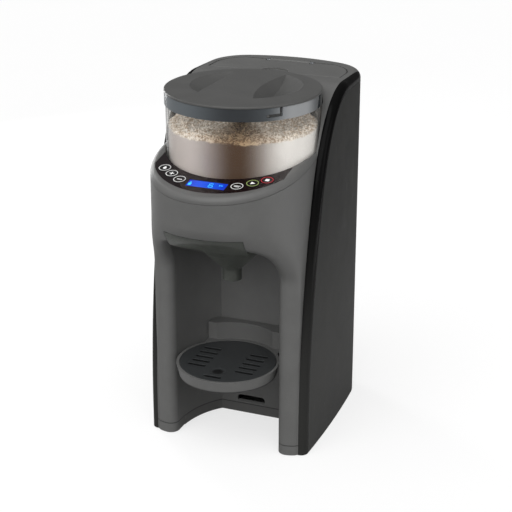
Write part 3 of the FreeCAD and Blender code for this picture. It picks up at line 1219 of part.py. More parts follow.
def plumbing():
    """Pump, heater, hoses, nozzle, tank socket, control board, power inlet, feet and base screws."""
    pump = rod(PUMP_R, PUMP_X, SERVICE_Y, FLOOR_Z, PUMP_BODY_TOP_Z)
    pump = pump.fuse(rod(PUMP_HEAD_R, PUMP_X, SERVICE_Y, PUMP_BODY_TOP_Z, PUMP_TOP_Z))
    in_x = PUMP_X - PUMP_PORT_X
    out_x = PUMP_X + PUMP_PORT_X
    for x in (in_x, out_x):
        pump = pump.fuse(rod(HOSE_BORE_R, x, SERVICE_Y, PUMP_TOP_Z - 1, PUMP_TOP_Z + SPIGOT))

    left = HEATER_X - HEATER_HALF_W
    heater = box(left, HEATER_X + HEATER_HALF_W, SERVICE_Y - HEATER_HALF_D, SERVICE_Y + HEATER_HALF_D,
                 HEATER_LOW_Z, HEATER_TOP_Z)
    heater = heater.makeFillet(HEATER_ROUND, [e for e in heater.Edges if upright(e)])
    spigot_end = V(left + 1, SERVICE_Y, HOSE_CROSS_Z)
    heater = heater.fuse(Part.makeCylinder(HOSE_BORE_R, SPIGOT + 1, spigot_end, V(-1, 0, 0)))
    heater = heater.fuse(rod(HOSE_BORE_R, HEATER_X, SERVICE_Y, HEATER_TOP_Z - 1, HEATER_TOP_Z + SPIGOT))

    socket = tube(SOCKET_R, SOCKET_R - SOCKET_WALL, 0, TANK_Y, SOCKET_FLOOR_Z, SHELF_TOP_Z)
    socket = socket.fuse(rod(SOCKET_R, 0, TANK_Y, SOCKET_FLOOR_Z - SOCKET_WALL, SOCKET_FLOOR_Z))
    spigot_low = SOCKET_FLOOR_Z - SOCKET_WALL - SPIGOT
    socket = socket.fuse(rod(HOSE_BORE_R, 0, TANK_Y, spigot_low, SOCKET_FLOOR_Z))
    socket = socket.cut(rod(HOSE_BORE_R - 1, 0, TANK_Y, spigot_low - 1, SOCKET_FLOOR_Z + 1))

    suction = hose(V(0, TANK_Y, SOCKET_FLOOR_Z - SOCKET_WALL), V(0, TANK_Y, HOSE_DROP_Z),
                   V(in_x, TANK_Y, HOSE_DROP_Z), V(in_x, SERVICE_Y, HOSE_DROP_Z),
                   V(in_x, SERVICE_Y, PUMP_TOP_Z))
    cold_turn = V(out_x, SERVICE_Y, HOSE_CROSS_Z)
    cold = hose(V(out_x, SERVICE_Y, PUMP_TOP_Z), cold_turn, V(left, SERVICE_Y, HOSE_CROSS_Z))
    hose_end = NOZZLE_Y + NOZZLE_R
    hot = hose(V(HEATER_X, SERVICE_Y, HEATER_TOP_Z), V(HEATER_X, SERVICE_Y, HOSE_HIGH_Z),
               V(HEATER_X, hose_end, HOSE_HIGH_Z))

    nozzle = rod(NOZZLE_R, HEATER_X, NOZZLE_Y, NOZZLE_LOW_Z, NOZZLE_TOP_Z)
    post_top_z = POCKET_FLOOR_Z - POCKET_FLOOR
    nozzle = nozzle.fuse(rod(NOZZLE_POST_R, HEATER_X, NOZZLE_Y, NOZZLE_TOP_Z, post_top_z))
    inlet = V(HEATER_X, NOZZLE_Y, HOSE_HIGH_Z)
    nozzle = nozzle.fuse(Part.makeCylinder(HOSE_BORE_R, NOZZLE_R + SPIGOT, inlet, V(0, 1, 0)))
    nozzle = nozzle.cut(Part.makeCylinder(NOZZLE_BORE_R, NOZZLE_R + 2 * SPIGOT, inlet, V(0, 1, 0)))
    nozzle = nozzle.cut(rod(NOZZLE_BORE_R, HEATER_X, NOZZLE_Y, 0, HOSE_HIGH_Z))

    board = box(-BOARD_HALF_W, BOARD_HALF_W, FRAME_Y - BOARD_THICK, FRAME_Y, BOARD_LOW_Z, BOARD_HIGH_Z)
    power = inlet_block(0).common(rod(REAR_BOW_R, 0, REAR_Y - REAR_BOW_R, 0, FAR))
    mouth = inlet_block(INLET_LIP)
    mouth.translate(V(0, INLET_LIP, 0))
    power = power.cut(mouth)
    for pin_x, pin_z in ((-INLET_PIN_X, -INLET_LIP), (0, INLET_LIP), (INLET_PIN_X, -INLET_LIP)):
        start = V(pin_x, REAR_Y - INLET_DEPTH + 1, INLET_Z + pin_z)
        power = power.fuse(Part.makeCylinder(INLET_PIN_R, INLET_DEPTH - 2 * INLET_LIP, start, V(0, 1, 0)))

    feet = []
    screws = []
    for side in (-1, 1):
        for x, y in FOOT_PLACES:
            feet.append(rod(FOOT_R, side * x, y, 0, FOOT_PROUD + FOOT_SEAT))
        for x, y in POST_PLACES:
            head_z = FOOT_PROUD + SCREW_HEAD
            head = rod(SCREW_HEAD_R, side * x, y, FOOT_PROUD + GAP, head_z)
            screws.append(head.fuse(rod(SCREW_R, side * x, y, head_z - 1, head_z + SCREW_LENGTH)))
    return {
        "water_pump": pump,
        "water_heater": heater,
        "tank_socket": socket,
        "suction_hose": suction,
        "pump_hose": cold,
        "hot_hose": hot,
        "water_nozzle": nozzle,
        "main_board": board,
        "power_inlet": power,
        "feet": Part.makeCompound(feet),
        "base_screws": Part.makeCompound(screws),
    }


def main():
    os.makedirs("parts", exist_ok=True)
    outer = core_block(0, 0, FOOT_PROUD)
    inner = core_block(WALL, CONSOLE_DECK, FLOOR_Z)
    nodes = {}
    mouth, rim = mouth_and_rim()
    nodes["base_plate"] = base_plate(outer, inner, mouth, rim)
    nodes["bay_liner"] = bay_liner()
    nodes["front_shell"] = front_shell(outer, inner, mouth, rim)
    nodes["hood"] = hood(outer, inner)
    nodes["hopper_seat"] = hopper_seat()
    nodes["rear_cover"] = rear_cover(outer, inner)
    trim, panel = side_plate()
    nodes["side_trim_right"] = trim
    nodes["side_panel_right"] = panel
    nodes["side_trim_left"] = mirrored(trim)
    nodes["side_panel_left"] = mirrored(panel)
    panel, lcd, board, keys = console(inner)
    nodes.update({"console_panel": panel, "lcd_display": lcd, "key_board": board})
    nodes.update(keys)
    cup, collar, powder = hopper()
    nodes.update({"hopper_container": cup, "hopper_collar": collar, "powder": powder})
    top, seal = lid()
    nodes.update({"hopper_lid": top, "lid_seal": seal})
    wheel, stirrer = rotor()
    nodes.update({"dosing_wheel": wheel, "stirrer": stirrer})
    nodes.update(drive())
    drawer, cover = funnel_drawer(outer, inner)
    nodes.update({"funnel": drawer, "funnel_cover": cover})
    body, grate = tray()
    nodes.update({"tray_body": body, "tray_grate": grate})
    nodes.update(tank())
    nodes["chassis"] = chassis()
    nodes.update(plumbing())
    for name, shape in nodes.items():
        print(name, shape.isValid(), len(shape.Solids), round(shape.Volume / 1000, 2), flush=True)
        shape.exportStep("parts/" + name + ".step")


main()
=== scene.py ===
"""Finished looks of a countertop baby formula maker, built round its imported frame.

The frame's nodes give every hard shell its shape, and this file dresses them in
moulded plastic, clear plastic, metal, rubber and silicone. Where a piece needs
finer geometry than its solid has, a new piece replaces it: the heap of powder,
the key caps with their rings and signs, and the signs on the display.
"""

from __future__ import annotations

import logging
import math
import random
from dataclasses import dataclass, field
from enum import Enum
from typing import Dict, List, Optional, Sequence, Tuple, Union

import bmesh
import bpy
from mathutils import Matrix, Vector, noise


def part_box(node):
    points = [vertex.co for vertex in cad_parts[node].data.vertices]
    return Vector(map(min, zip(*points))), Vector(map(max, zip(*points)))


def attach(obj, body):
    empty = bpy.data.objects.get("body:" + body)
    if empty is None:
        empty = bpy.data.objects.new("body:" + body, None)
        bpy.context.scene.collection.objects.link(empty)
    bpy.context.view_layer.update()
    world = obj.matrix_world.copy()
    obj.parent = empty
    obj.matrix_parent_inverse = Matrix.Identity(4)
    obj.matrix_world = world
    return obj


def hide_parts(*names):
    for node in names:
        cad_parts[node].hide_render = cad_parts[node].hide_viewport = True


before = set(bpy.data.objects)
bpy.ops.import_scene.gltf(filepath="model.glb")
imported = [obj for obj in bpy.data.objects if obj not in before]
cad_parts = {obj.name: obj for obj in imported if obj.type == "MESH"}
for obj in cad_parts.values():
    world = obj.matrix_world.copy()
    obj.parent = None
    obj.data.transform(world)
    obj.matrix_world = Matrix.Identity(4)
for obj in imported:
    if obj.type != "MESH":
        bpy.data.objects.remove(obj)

LOG = logging.getLogger("formula_maker")
MM = 0.001
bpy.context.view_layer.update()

Colour = Tuple[float, float, float]
Point = Tuple[float, float]


def shade(red: int, green: int, blue: int) -> Colour:
    """Turn a screen colour into the linear colour that a shader takes.

    Args:
        red: Red from 0 to 255.
        green: Green from 0 to 255.
        blue: Blue from 0 to 255.

    Returns:
        The three linear values from 0 to 1.
    """

    def linear(value: int) -> float:
        """Undo the screen curve of one value."""
        share = value / 255
        return share / 12.92 if share <= 0.04045 else ((share + 0.055) / 1.055) ** 2.4

    return linear(red), linear(green), linear(blue)


def scaled(colour: Colour, by: float) -> Colour:
    """Return a colour made lighter or darker by a factor."""
    return tuple(min(1.0, part * by) for part in colour)  # type: ignore[return-value]


# ------------------------------------------------------------------ shader maths
class Socket:
    """One output of a shader node, with ordinary arithmetic on it."""

    def __init__(self, tree: "ShaderTree", socket: bpy.types.NodeSocket) -> None:
        """Wrap a node's output socket."""
        self.tree = tree
        self.socket = socket

    def _math(self, operation: str, first: "Value", second: "Value" = 0.0) -> "Socket":
        """Add one Math node on two values."""
        return self.tree.node("ShaderNodeMath", {"operation": operation}, {0: first, 1: second})

    def __add__(self, other: "Value") -> "Socket":
        """Add a value."""
        return self._math("ADD", self, other)

    def __radd__(self, other: float) -> "Socket":
        """Add to a number."""
        return self._math("ADD", other, self)

    def __sub__(self, other: "Value") -> "Socket":
        """Take a value away."""
        return self._math("SUBTRACT", self, other)

    def __rsub__(self, other: float) -> "Socket":
        """Take this away from a number."""
        return self._math("SUBTRACT", other, self)

    def __mul__(self, other: "Value") -> "Socket":
        """Multiply by a value."""
        return self._math("MULTIPLY", self, other)

    def __rmul__(self, other: float) -> "Socket":
        """Multiply a number."""
        return self._math("MULTIPLY", other, self)

    def __pow__(self, other: "Value") -> "Socket":
        """Raise to a power."""
        return self._math("POWER", self, other)

    def at_most(self, other: "Value") -> "Socket":
        """Return the smaller of this and a value."""
        return self._math("MINIMUM", self, other)

    def between(self, low: float, high: float, to_low: float = 0.0, to_high: float = 1.0) -> "Socket":
        """Map a range smoothly on to another one.

        Args:
            low: Where the ramp starts.
            high: Where the ramp ends.
            to_low: The result at the start.
            to_high: The result at the end.

        Returns:
            The mapped value, held at both ends.
        """
        return self.tree.node(
            "ShaderNodeMapRange",
            {"interpolation_type": "SMOOTHSTEP"},
            {"Value": self, "From Min": low, "From Max": high, "To Min": to_low, "To Max": to_high},
        )


Value = Union[Socket, float, Sequence[float], None]
Inputs = Dict[Union[str, int], Value]


class ShaderTree:
    """A material while its nodes are put together."""

    def __init__(self, name: str) -> None:
        """Start an empty material."""
        self.material = bpy.data.materials.new(name)
        self.material.use_nodes = True
        self.nodes = self.material.node_tree.nodes
        self.links = self.material.node_tree.links
        self.nodes.clear()
        self.end = self.nodes.new("ShaderNodeOutputMaterial")
        self.place = self.node("ShaderNodeTexCoord", output="Object")

    def node(
        self,
        kind: str,
        settings: Optional[Dict[str, object]] = None,
        inputs: Optional[Inputs] = None,
        output: Union[str, int] = 0,
    ) -> Socket:
        """Add a node, set it up and join its inputs.

        Args:
            kind: The node's type.
            settings: Its own settings, set first.
            inputs: Numbers, colours or links for its sockets.
            output: Which output to hand back.

        Returns:
            The chosen output.
        """
        made = self.nodes.new(kind)
        for name, value in (settings or {}).items():
            setattr(made, name, value)
        for name, value in (inputs or {}).items():
            if isinstance(value, Socket):
                self.links.new(value.socket, made.inputs[name])
            elif value is not None:
                target = made.inputs[name]
                if not isinstance(value, (int, float)) and target.type == "RGBA" and len(value) == 3:
                    value = (*value, 1.0)
                target.default_value = value
        return Socket(self, made.outputs[output])

    def stretched(self, x: float = 1.0, y: float = 1.0, z: float = 1.0) -> Socket:
        """Return the object's own coordinates, scaled along each axis."""
        return self.node("ShaderNodeVectorMath", {"operation": "MULTIPLY"}, {0: self.place, 1: (x, y, z)})

    def axis(self, name: str) -> Socket:
        """Return one of the object's own coordinates, in metres."""
        return self.node("ShaderNodeSeparateXYZ", inputs={0: self.place}, output=name)

    def away_from(self, heading: float, axis_y: float) -> Socket:
        """Return how far round an upright axis a place is from a heading.

        Args:
            heading: Degrees from the front of the machine, towards its right side.
            axis_y: Where the upright axis stands.

        Returns:
            The angle in degrees, from 0 to 180 either way.
        """
        turn = math.radians(heading)
        x, y = self.axis("X"), self.axis("Y") - axis_y
        across = x * math.cos(turn) + y * math.sin(turn)
        ahead = x * math.sin(turn) - y * math.cos(turn)
        angle = self.node("ShaderNodeMath", {"operation": "ARCTAN2"}, {0: across, 1: ahead})
        return self.node("ShaderNodeMath", {"operation": "ABSOLUTE"}, {0: angle}) * (180 / math.pi)

    def band(self, heading: float, inner: float, outer: float, axis_y: float) -> Socket:
        """Return 1 round a heading of a round piece, falling smoothly to 0 on both sides.

        Args:
            heading: Degrees from the front to the middle of the band.
            inner: Degrees from the middle that stay at 1.
            outer: Degrees from the middle where it reaches 0.
            axis_y: Where the piece's upright axis stands.

        Returns:
            The band's share.
        """
        return self.away_from(heading, axis_y).between(inner, outer, 1.0, 0.0)

    def noise(
        self,
        size: float,
        detail: float = 2.0,
        rough: float = 0.5,
        where: Optional[Socket] = None,
        bend: float = 0.0,
    ) -> Socket:
        """Add a cloudy pattern.

        Args:
            size: The size of one cloud in metres.
            detail: How many finer layers it has.
            rough: How strong the finer layers are.
            where: The coordinates, if not the object's own.
            bend: How much the pattern is twisted.

        Returns:
            A value around 0.5.
        """
        inputs: Inputs = {
            "Vector": where or self.place,
            "Scale": 1 / size,
            "Detail": detail,
            "Roughness": rough,
            "Distortion": bend,
        }
        return self.node("ShaderNodeTexNoise", inputs=inputs, output="Fac")

    def cells(self, size: float) -> Socket:
        """Return how far a place is from the middle of its cell, for cells of one size in metres."""
        inputs: Inputs = {"Vector": self.place, "Scale": 1 / size}
        return self.node("ShaderNodeTexVoronoi", inputs=inputs, output="Distance")

    def mix(self, factor: Value, first: Value, second: Value) -> Socket:
        """Mix two colours.

        Args:
            factor: 0 for the first, 1 for the second.
            first: A colour or a link.
            second: A colour or a link.

        Returns:
            The mixed colour.
        """
        return self.node("ShaderNodeMix", {"data_type": "RGBA"}, {0: factor, 6: first, 7: second}, 2)

    def bump(self, height: Socket, depth: float, strength: float, over: Optional[Socket] = None) -> Socket:
        """Turn a height into a normal.

        Args:
            height: The height from 0 to 1.
            depth: The height's full range in metres.
            strength: How far it is felt, from 0 to 1.
            over: A normal to start from.

        Returns:
            The normal.
        """
        inputs: Inputs = {"Height": height, "Distance": depth, "Strength": strength, "Normal": over}
        return self.node("ShaderNodeBump", inputs=inputs)

    def soft_edges(self, radius: float) -> Socket:
        """Return the normal with every sharp edge rounded to a small radius in metres."""
        return self.node("ShaderNodeBevel", {"samples": 4}, {"Radius": radius})

    def surface(self, colour: Value, rough: Value, **more: Value) -> Socket:
        """Add a Principled shader.

        Args:
            colour: Its base colour.
            rough: Its roughness.
            **more: Other sockets, with underscores for spaces.

        Returns:
            The shader's output.
        """
        inputs: Inputs = {"Base Color": colour, "Roughness": rough}
        inputs.update({name.replace("_", " "): value for name, value in more.items()})
        return self.node("ShaderNodeBsdfPrincipled", inputs=inputs)

    def finish(self, shader: Socket) -> bpy.types.Material:
        """Join the shader to the output and hand back the material."""
        self.links.new(shader.socket, self.end.inputs["Surface"])
        return self.material


# ------------------------------------------------------------------ finishes
class Finish:
    """A finish that makes its material once and keeps it."""

    made: Dict[str, bpy.types.Material] = {}

    def material(self) -> bpy.types.Material:
        """Return the finish's material, made on first use."""
        name = getattr(self, "name")
        if name not in Finish.made:
            Finish.made[name] = self.build(ShaderTree(name))
        return Finish.made[name]

    def build(self, tree: ShaderTree) -> bpy.types.Material:
        """Put the material's nodes together."""
        raise NotImplementedError


@dataclass(frozen=True)
class MouldedPlastic(Finish):
    """Textured plastic: fine spark grain, faint flow clouds, worn edges and light scuffs; some kinds add
    painted shade.
    """

    name: str
    colour: Colour
    rough: float = 0.42
    grain: float = 0.45 * MM
    depth: float = 0.02 * MM
    spread: float = 0.05
    rub: float = 0.25
    edge: float = 0.5 * MM
    sheen: float = 0.5

    def shadow(self, tree: ShaderTree) -> Optional[Socket]:
        """Return the share of painted shade in the piece's seams and hollows, if it has any."""
        return None

    def coat(self, tree: ShaderTree, colour: Colour, clouds: Socket, fine: Socket, scuffs: Socket) -> Socket:
        """Return the coat's colour: cloudy, speckled and scuffed."""
        dark, light = scaled(colour, 1 - self.spread), scaled(colour, 1 + self.spread)
        body = tree.mix(clouds.between(0.3, 0.7), dark, light)
        speckled = tree.mix(fine.between(0.35, 0.7) * 0.35, body, scaled(colour, 0.82))
        return tree.mix(scuffs * (self.rub * 0.25), speckled, scaled(colour, 1.5))

    def build(self, tree: ShaderTree) -> bpy.types.Material:
        """Put the plastic's nodes together."""
        clouds = tree.noise(26 * MM, 3.0, 0.6)
        fine = tree.noise(self.grain, 2.0, 0.7)
        scuffs = tree.noise(9 * MM, 4.0, 0.7, tree.stretched(1.0, 1.0, 0.22), 0.6).between(0.60, 0.74)
        worn_and_shaded = self.coat(tree, self.colour, clouds, fine, scuffs)
        hollow = self.shadow(tree)
        if hollow is not None:
            # Painted shade: the seam or hollow share darkens the coat towards a deep copy of its colour.
            worn_and_shaded = tree.mix(hollow, worn_and_shaded, scaled(self.colour, 0.12))
        rough = self.rough + (clouds - 0.5) * 0.16 + fine * 0.08 - scuffs * (self.rub * 0.35)
        normal = tree.bump(fine, self.depth, 0.6, tree.soft_edges(self.edge))
        return tree.finish(tree.surface(worn_and_shaded, rough, Normal=normal, Specular_IOR_Level=self.sheen))


@dataclass(frozen=True)
class SeamedPlastic(MouldedPlastic):
    """Moulded plastic with a shadow line where the base joins the shell."""

    seam_z: float = 12.4 * MM
    seam_half: float = 0.35 * MM

    def shadow(self, tree: ShaderTree) -> Optional[Socket]:
        """Return the seam's share."""
        off = tree.node("ShaderNodeMath", {"operation": "ABSOLUTE"}, {0: tree.axis("Z") - self.seam_z})
        return off.between(self.seam_half, self.seam_half * 2.2, 0.85, 0.0)


@dataclass(frozen=True)
class HollowPlastic(MouldedPlastic):
    """Moulded plastic with painted shade in the hollow below a level, inside a radius."""

    level: float = 0.0
    soft: float = 0.5 * MM
    radius: float = 1.0
    axis_y: float = 0.0

    def shadow(self, tree: ShaderTree) -> Optional[Socket]:
        """Return the share of painted shade in the hollow."""
        x, y = tree.axis("X"), tree.axis("Y") - self.axis_y
        reach = (x * x + y * y) ** 0.5
        inside = reach.between(self.radius - 0.5 * MM, self.radius, 1.0, 0.0)
        return tree.axis("Z").between(self.level - self.soft, self.level, 1.0, 0.0) * inside


@dataclass(frozen=True)
class GradedPlastic(MouldedPlastic):
    """Moulded plastic with painted light: it grows paler towards the foot."""

    foot: Colour = (0.1, 0.1, 0.1)
    foot_z: float = 50.0 * MM
    head_z: float = 330.0 * MM

    def coat(self, tree: ShaderTree, colour: Colour, clouds: Socket, fine: Socket, scuffs: Socket) -> Socket:
        """Return the coat's colour by height, with the painted light paler towards the foot."""
        high = super().coat(tree, colour, clouds, fine, scuffs)
        low = super().coat(tree, self.foot, clouds, fine, scuffs)
        return tree.mix(tree.axis("Z").between(self.foot_z, self.head_z), low, high)


@dataclass(frozen=True)
class GlossPlastic(Finish):
    """Polished plastic with finger smears, hairline scratches and a little dust."""

    name: str
    colour: Colour
    rough: float = 0.07
    smear: float = 0.16
    dust: float = 0.05
    edge: float = 0.35 * MM
    shine: float = 0.5

    def build(self, tree: ShaderTree) -> bpy.types.Material:
        """Put the polished plastic's nodes together."""
        smears = tree.noise(17 * MM, 4.0, 0.65, None, 1.2).between(0.46, 0.72)
        lines = tree.noise(0.6 * MM, 1.0, 0.4, tree.stretched(1.0, 1.0, 0.02)).between(0.66, 0.74)
        specks = tree.cells(2.4 * MM).between(0.13, 0.05)
        kept = tree.noise(14 * MM, 2.0).between(0.52, 0.66)
        dust = specks * kept
        colour = tree.mix(dust * self.dust, self.tone(tree), shade(150, 148, 144))
        rough = self.rough + smears * self.smear * 0.6 + lines * 0.08 + dust * 0.4
        normal = tree.bump(lines, 0.002 * MM, 0.35, tree.soft_edges(self.edge))
        return tree.finish(tree.surface(colour, rough, Normal=normal, Specular_IOR_Level=self.shine))

    def tone(self, tree: ShaderTree) -> Value:
        """Return the plastic's own colour."""
        return self.colour


@dataclass(frozen=True)
class GradedGloss(GlossPlastic):
    """Polished plastic with painted light: it grows paler towards the foot."""

    foot: Colour = (0.05, 0.05, 0.05)
    foot_z: float = 40.0 * MM
    head_z: float = 300.0 * MM

    def tone(self, tree: ShaderTree) -> Value:
        """Return the colour by height, with the painted light paler towards the foot."""
        return tree.mix(tree.axis("Z").between(self.foot_z, self.head_z), self.foot, self.colour)


@dataclass(frozen=True)
class ClearPlastic(Finish):
    """Clear plastic: see-through where it faces the eye, glossy at its edges, faintly hazed."""

    name: str
    tint: Colour
    body: Colour
    haze: float = 0.05
    rough: float = 0.04
    glint: float = 0.04

    def build(self, tree: ShaderTree) -> bpy.types.Material:
        """Put the clear plastic's nodes together."""
        facing = tree.node("ShaderNodeLayerWeight", inputs={"Blend": 0.5}, output="Facing")
        gloss = self.glint + (facing ** 5.0) * (1.0 - self.glint)
        film = tree.noise(22 * MM, 3.0, 0.6).between(0.4, 0.75)
        scratch = tree.noise(0.8 * MM, 1.0, 0.4, tree.stretched(1.0, 1.0, 0.03)).between(0.68, 0.75)
        cover = (gloss + self.haze + film * 0.02 + scratch * 0.03).at_most(1.0)
        through = tree.node("ShaderNodeBsdfTransparent", inputs={"Color": self.tint})
        solid = tree.surface(self.shade_of(tree), self.rough + film * 0.06 + scratch * 0.1)
        mixed = tree.node("ShaderNodeMixShader", inputs={0: cover, 1: through, 2: solid})
        return tree.finish(mixed)

    def shade_of(self, tree: ShaderTree) -> Value:
        """Return the colour of the plastic's own body."""
        return self.body


@dataclass(frozen=True)
class CollarPlastic(ClearPlastic):
    """Smoky plastic of the bayonet collar, with painted shade in front and a painted highlight at its right.
    """

    axis_y: float = 0.0
    front: Colour = (0.02, 0.02, 0.02)
    right: Colour = (0.3, 0.3, 0.3)

    def shade_of(self, tree: ShaderTree) -> Value:
        """Return the collar's colour round its axis, with painted shade in front and past the highlight."""
        # Painted highlight towards the right side, where a reflection falls.
        sides = tree.mix(tree.band(66.0, 7.0, 30.0, self.axis_y), self.body, self.right)
        # Painted shade past the highlight, at the far right.
        edge = tree.mix(tree.band(104.0, 8.0, 32.0, self.axis_y), sides, scaled(self.front, 0.8))
        # Painted shade round the front.
        return tree.mix(tree.band(18.0, 3.0, 44.0, self.axis_y), edge, self.front)


@dataclass(frozen=True)
class PowderFinish(Finish):
    """Formula powder, cream and brown, with painted shade in its hollows and front and painted light at its
    sides.
    """

    name: str
    crumb: Colour
    hollow: Colour
    pale_crumb: Colour
    pale_hollow: Colour
    wall: Colour
    wall_painted_light: Colour
    shadow: Colour
    axis_y: float
    edge_z: float
    # Strength of the painted glow.
    glow: float = 0.22

    def build(self, tree: ShaderTree) -> bpy.types.Material:
        """Put the powder's nodes together."""
        crumbs = tree.noise(2.4 * MM, 3.0, 0.65)
        clumps = tree.noise(9 * MM, 3.0, 0.6)
        grain = tree.noise(0.45 * MM, 2.0, 0.6)
        # Painted shade: a dark band round the front, partly the powder's own brown.
        shadow = tree.band(17.5, 2.0, 42.0, self.axis_y)
        edge = tree.axis("Z") + (clumps - 0.5) * (6 * MM)
        top = edge.between(self.edge_z - 3.5 * MM, self.edge_z - 1.0 * MM)
        # Painted shade in the hollows between the crumbs; pale is a lit copy, brown a shaded copy partly of
        # the powder's own brown.
        speck = (crumbs + (clumps - 0.5) * 0.35).between(0.40, 0.58)
        pale = tree.mix(speck, self.pale_hollow, self.pale_crumb)
        brown = tree.mix(speck, self.hollow, self.crumb)
        # Painted shade: the crumbs take the brown copy in the front band.
        loose = tree.mix(shadow * 0.9, pale, brown)
        # Painted light: the wall grows paler towards the right side.
        right = tree.band(75.0, 25.0, 55.0, self.axis_y)
        wall = tree.mix(right, self.wall, self.wall_painted_light)
        # Painted shade: the packed wall darkens in the front band.
        packed = tree.mix(shadow, wall, self.shadow)
        packed = tree.mix(grain.between(0.35, 0.7) * 0.1, packed, scaled(self.shadow, 1.6))
        colour = tree.mix(top, packed, loose)
        colour = tree.mix(grain.between(0.5, 0.75) * 0.15, colour, self.hollow)
        bumped = tree.bump(crumbs * 0.7 + grain * 0.3, 0.4 * MM, 0.5)
        # Painted light: a faint glow on the crumbs and the right of the wall, held back in the front band.
        lit = tree.mix((top + right * 0.5).at_most(1.0) * (1.0 - shadow * 0.85), (0.0, 0.0, 0.0), colour)
        glow = {"Emission_Color": lit, "Emission_Strength": self.glow}
        return tree.finish(tree.surface(colour, 0.95, Normal=bumped, Specular_IOR_Level=0.15, **glow))


@dataclass(frozen=True)
class GlowScreen(Finish):
    """Backlit display: brighter in the middle, with a fine cell grid."""

    name: str
    glow: Colour
    rim: Colour
    centre: Tuple[float, float, float]
    half_width: float
    cell: float = 0.35 * MM
    strength: float = 1.0

    def build(self, tree: ShaderTree) -> bpy.types.Material:
        """Put the display's nodes together."""
        x = tree.node("ShaderNodeMath", {"operation": "ABSOLUTE"}, {0: tree.axis("X") - self.centre[0]})
        fade = x.between(self.half_width * 0.35, self.half_width * 1.05)
        cells: Inputs = {"Vector": tree.place, "Scale": 1 / self.cell}
        grid = tree.node("ShaderNodeTexChecker", inputs=cells, output="Fac")
        colour = tree.mix(fade, self.glow, self.rim)
        lit = tree.mix(grid * 0.06, colour, (0.0, 0.0, 0.02))
        return tree.finish(
            tree.surface(scaled(self.rim, 0.4), 0.12, Emission_Color=lit, Emission_Strength=self.strength)
        )


@dataclass(frozen=True)
class PrintedInk(Finish):
    """Pad-printed or lit marks with slightly uneven ink; the glow on the keys' rings and signs is painted
    light.
    """

    name: str
    colour: Colour
    glow: float = 0.0

    def build(self, tree: ShaderTree) -> bpy.types.Material:
        """Put the ink's nodes together."""
        patch = tree.noise(0.7 * MM, 2.0).between(0.3, 0.7)
        colour = tree.mix(patch * 0.3, self.colour, scaled(self.colour, 0.7))
        # The glow is the display's own light on its marks, and painted light on the keys' rings and signs.
        glow = {"Emission_Color": colour, "Emission_Strength": self.glow}
        return tree.finish(tree.surface(colour, 0.45 + patch * 0.15, **glow))


@dataclass(frozen=True)
class Metal(Finish):
    """Bright or brushed metal with a drawn grain and darker handling marks."""

    name: str
    colour: Colour
    rough: float = 0.25
    grain: Tuple[float, float, float] = (1.0, 1.0, 0.03)

    def build(self, tree: ShaderTree) -> bpy.types.Material:
        """Put the metal's nodes together."""
        lines = tree.noise(0.5 * MM, 3.0, 0.7, tree.stretched(*self.grain))
        marks = tree.noise(8 * MM, 3.0, 0.6).between(0.45, 0.75)
        colour = tree.mix(marks * 0.25, self.colour, scaled(self.colour, 0.6))
        rough = self.rough + lines * 0.14 + marks * 0.12
        drawn = tree.bump(lines, 0.006 * MM, 0.4)
        return tree.finish(tree.surface(colour, rough, Metallic=1.0, Normal=drawn))


@dataclass(frozen=True)
class Rubber(Finish):
    """Matt rubber or silicone with a chalky bloom."""

    name: str
    colour: Colour
    rough: float = 0.75
    bloom: float = 0.15

    def build(self, tree: ShaderTree) -> bpy.types.Material:
        """Put the rubber's nodes together."""
        cloud = tree.noise(7 * MM, 4.0, 0.65).between(0.4, 0.75)
        skin = tree.noise(0.35 * MM, 2.0, 0.6)
        colour = tree.mix(cloud * self.bloom, self.colour, shade(150, 148, 145))
        bumped = tree.bump(skin, 0.02 * MM, 0.5)
        return tree.finish(tree.surface(colour, self.rough + cloud * 0.1, Normal=bumped))


@dataclass(frozen=True)
class CircuitBoard(Finish):
    """Green solder resist over copper tracks, with tinned pads."""

    name: str
    resist: Colour = field(default_factory=lambda: shade(16, 70, 40))

    def build(self, tree: ShaderTree) -> bpy.types.Material:
        """Put the board's nodes together."""
        track = tree.node(
            "ShaderNodeTexBrick",
            {"offset": 0.37, "squash": 1.6},
            {
                "Vector": tree.place, "Scale": 1 / (14 * MM), "Mortar Size": 0.035,
                "Color1": (0, 0, 0), "Color2": (0, 0, 0),
            },
            "Fac",
        )
        pads = tree.cells(3.2 * MM).between(0.16, 0.12)
        fibre = tree.noise(0.4 * MM, 2.0)
        green = tree.mix(track * 0.6, self.resist, shade(60, 130, 70))
        colour = tree.mix(pads, green, shade(190, 190, 185))
        rough = 0.32 + fibre * 0.15
        bumped = tree.bump(track + pads, 0.03 * MM, 0.6)
        return tree.finish(tree.surface(colour, rough, Metallic=pads * 0.8, Normal=bumped))


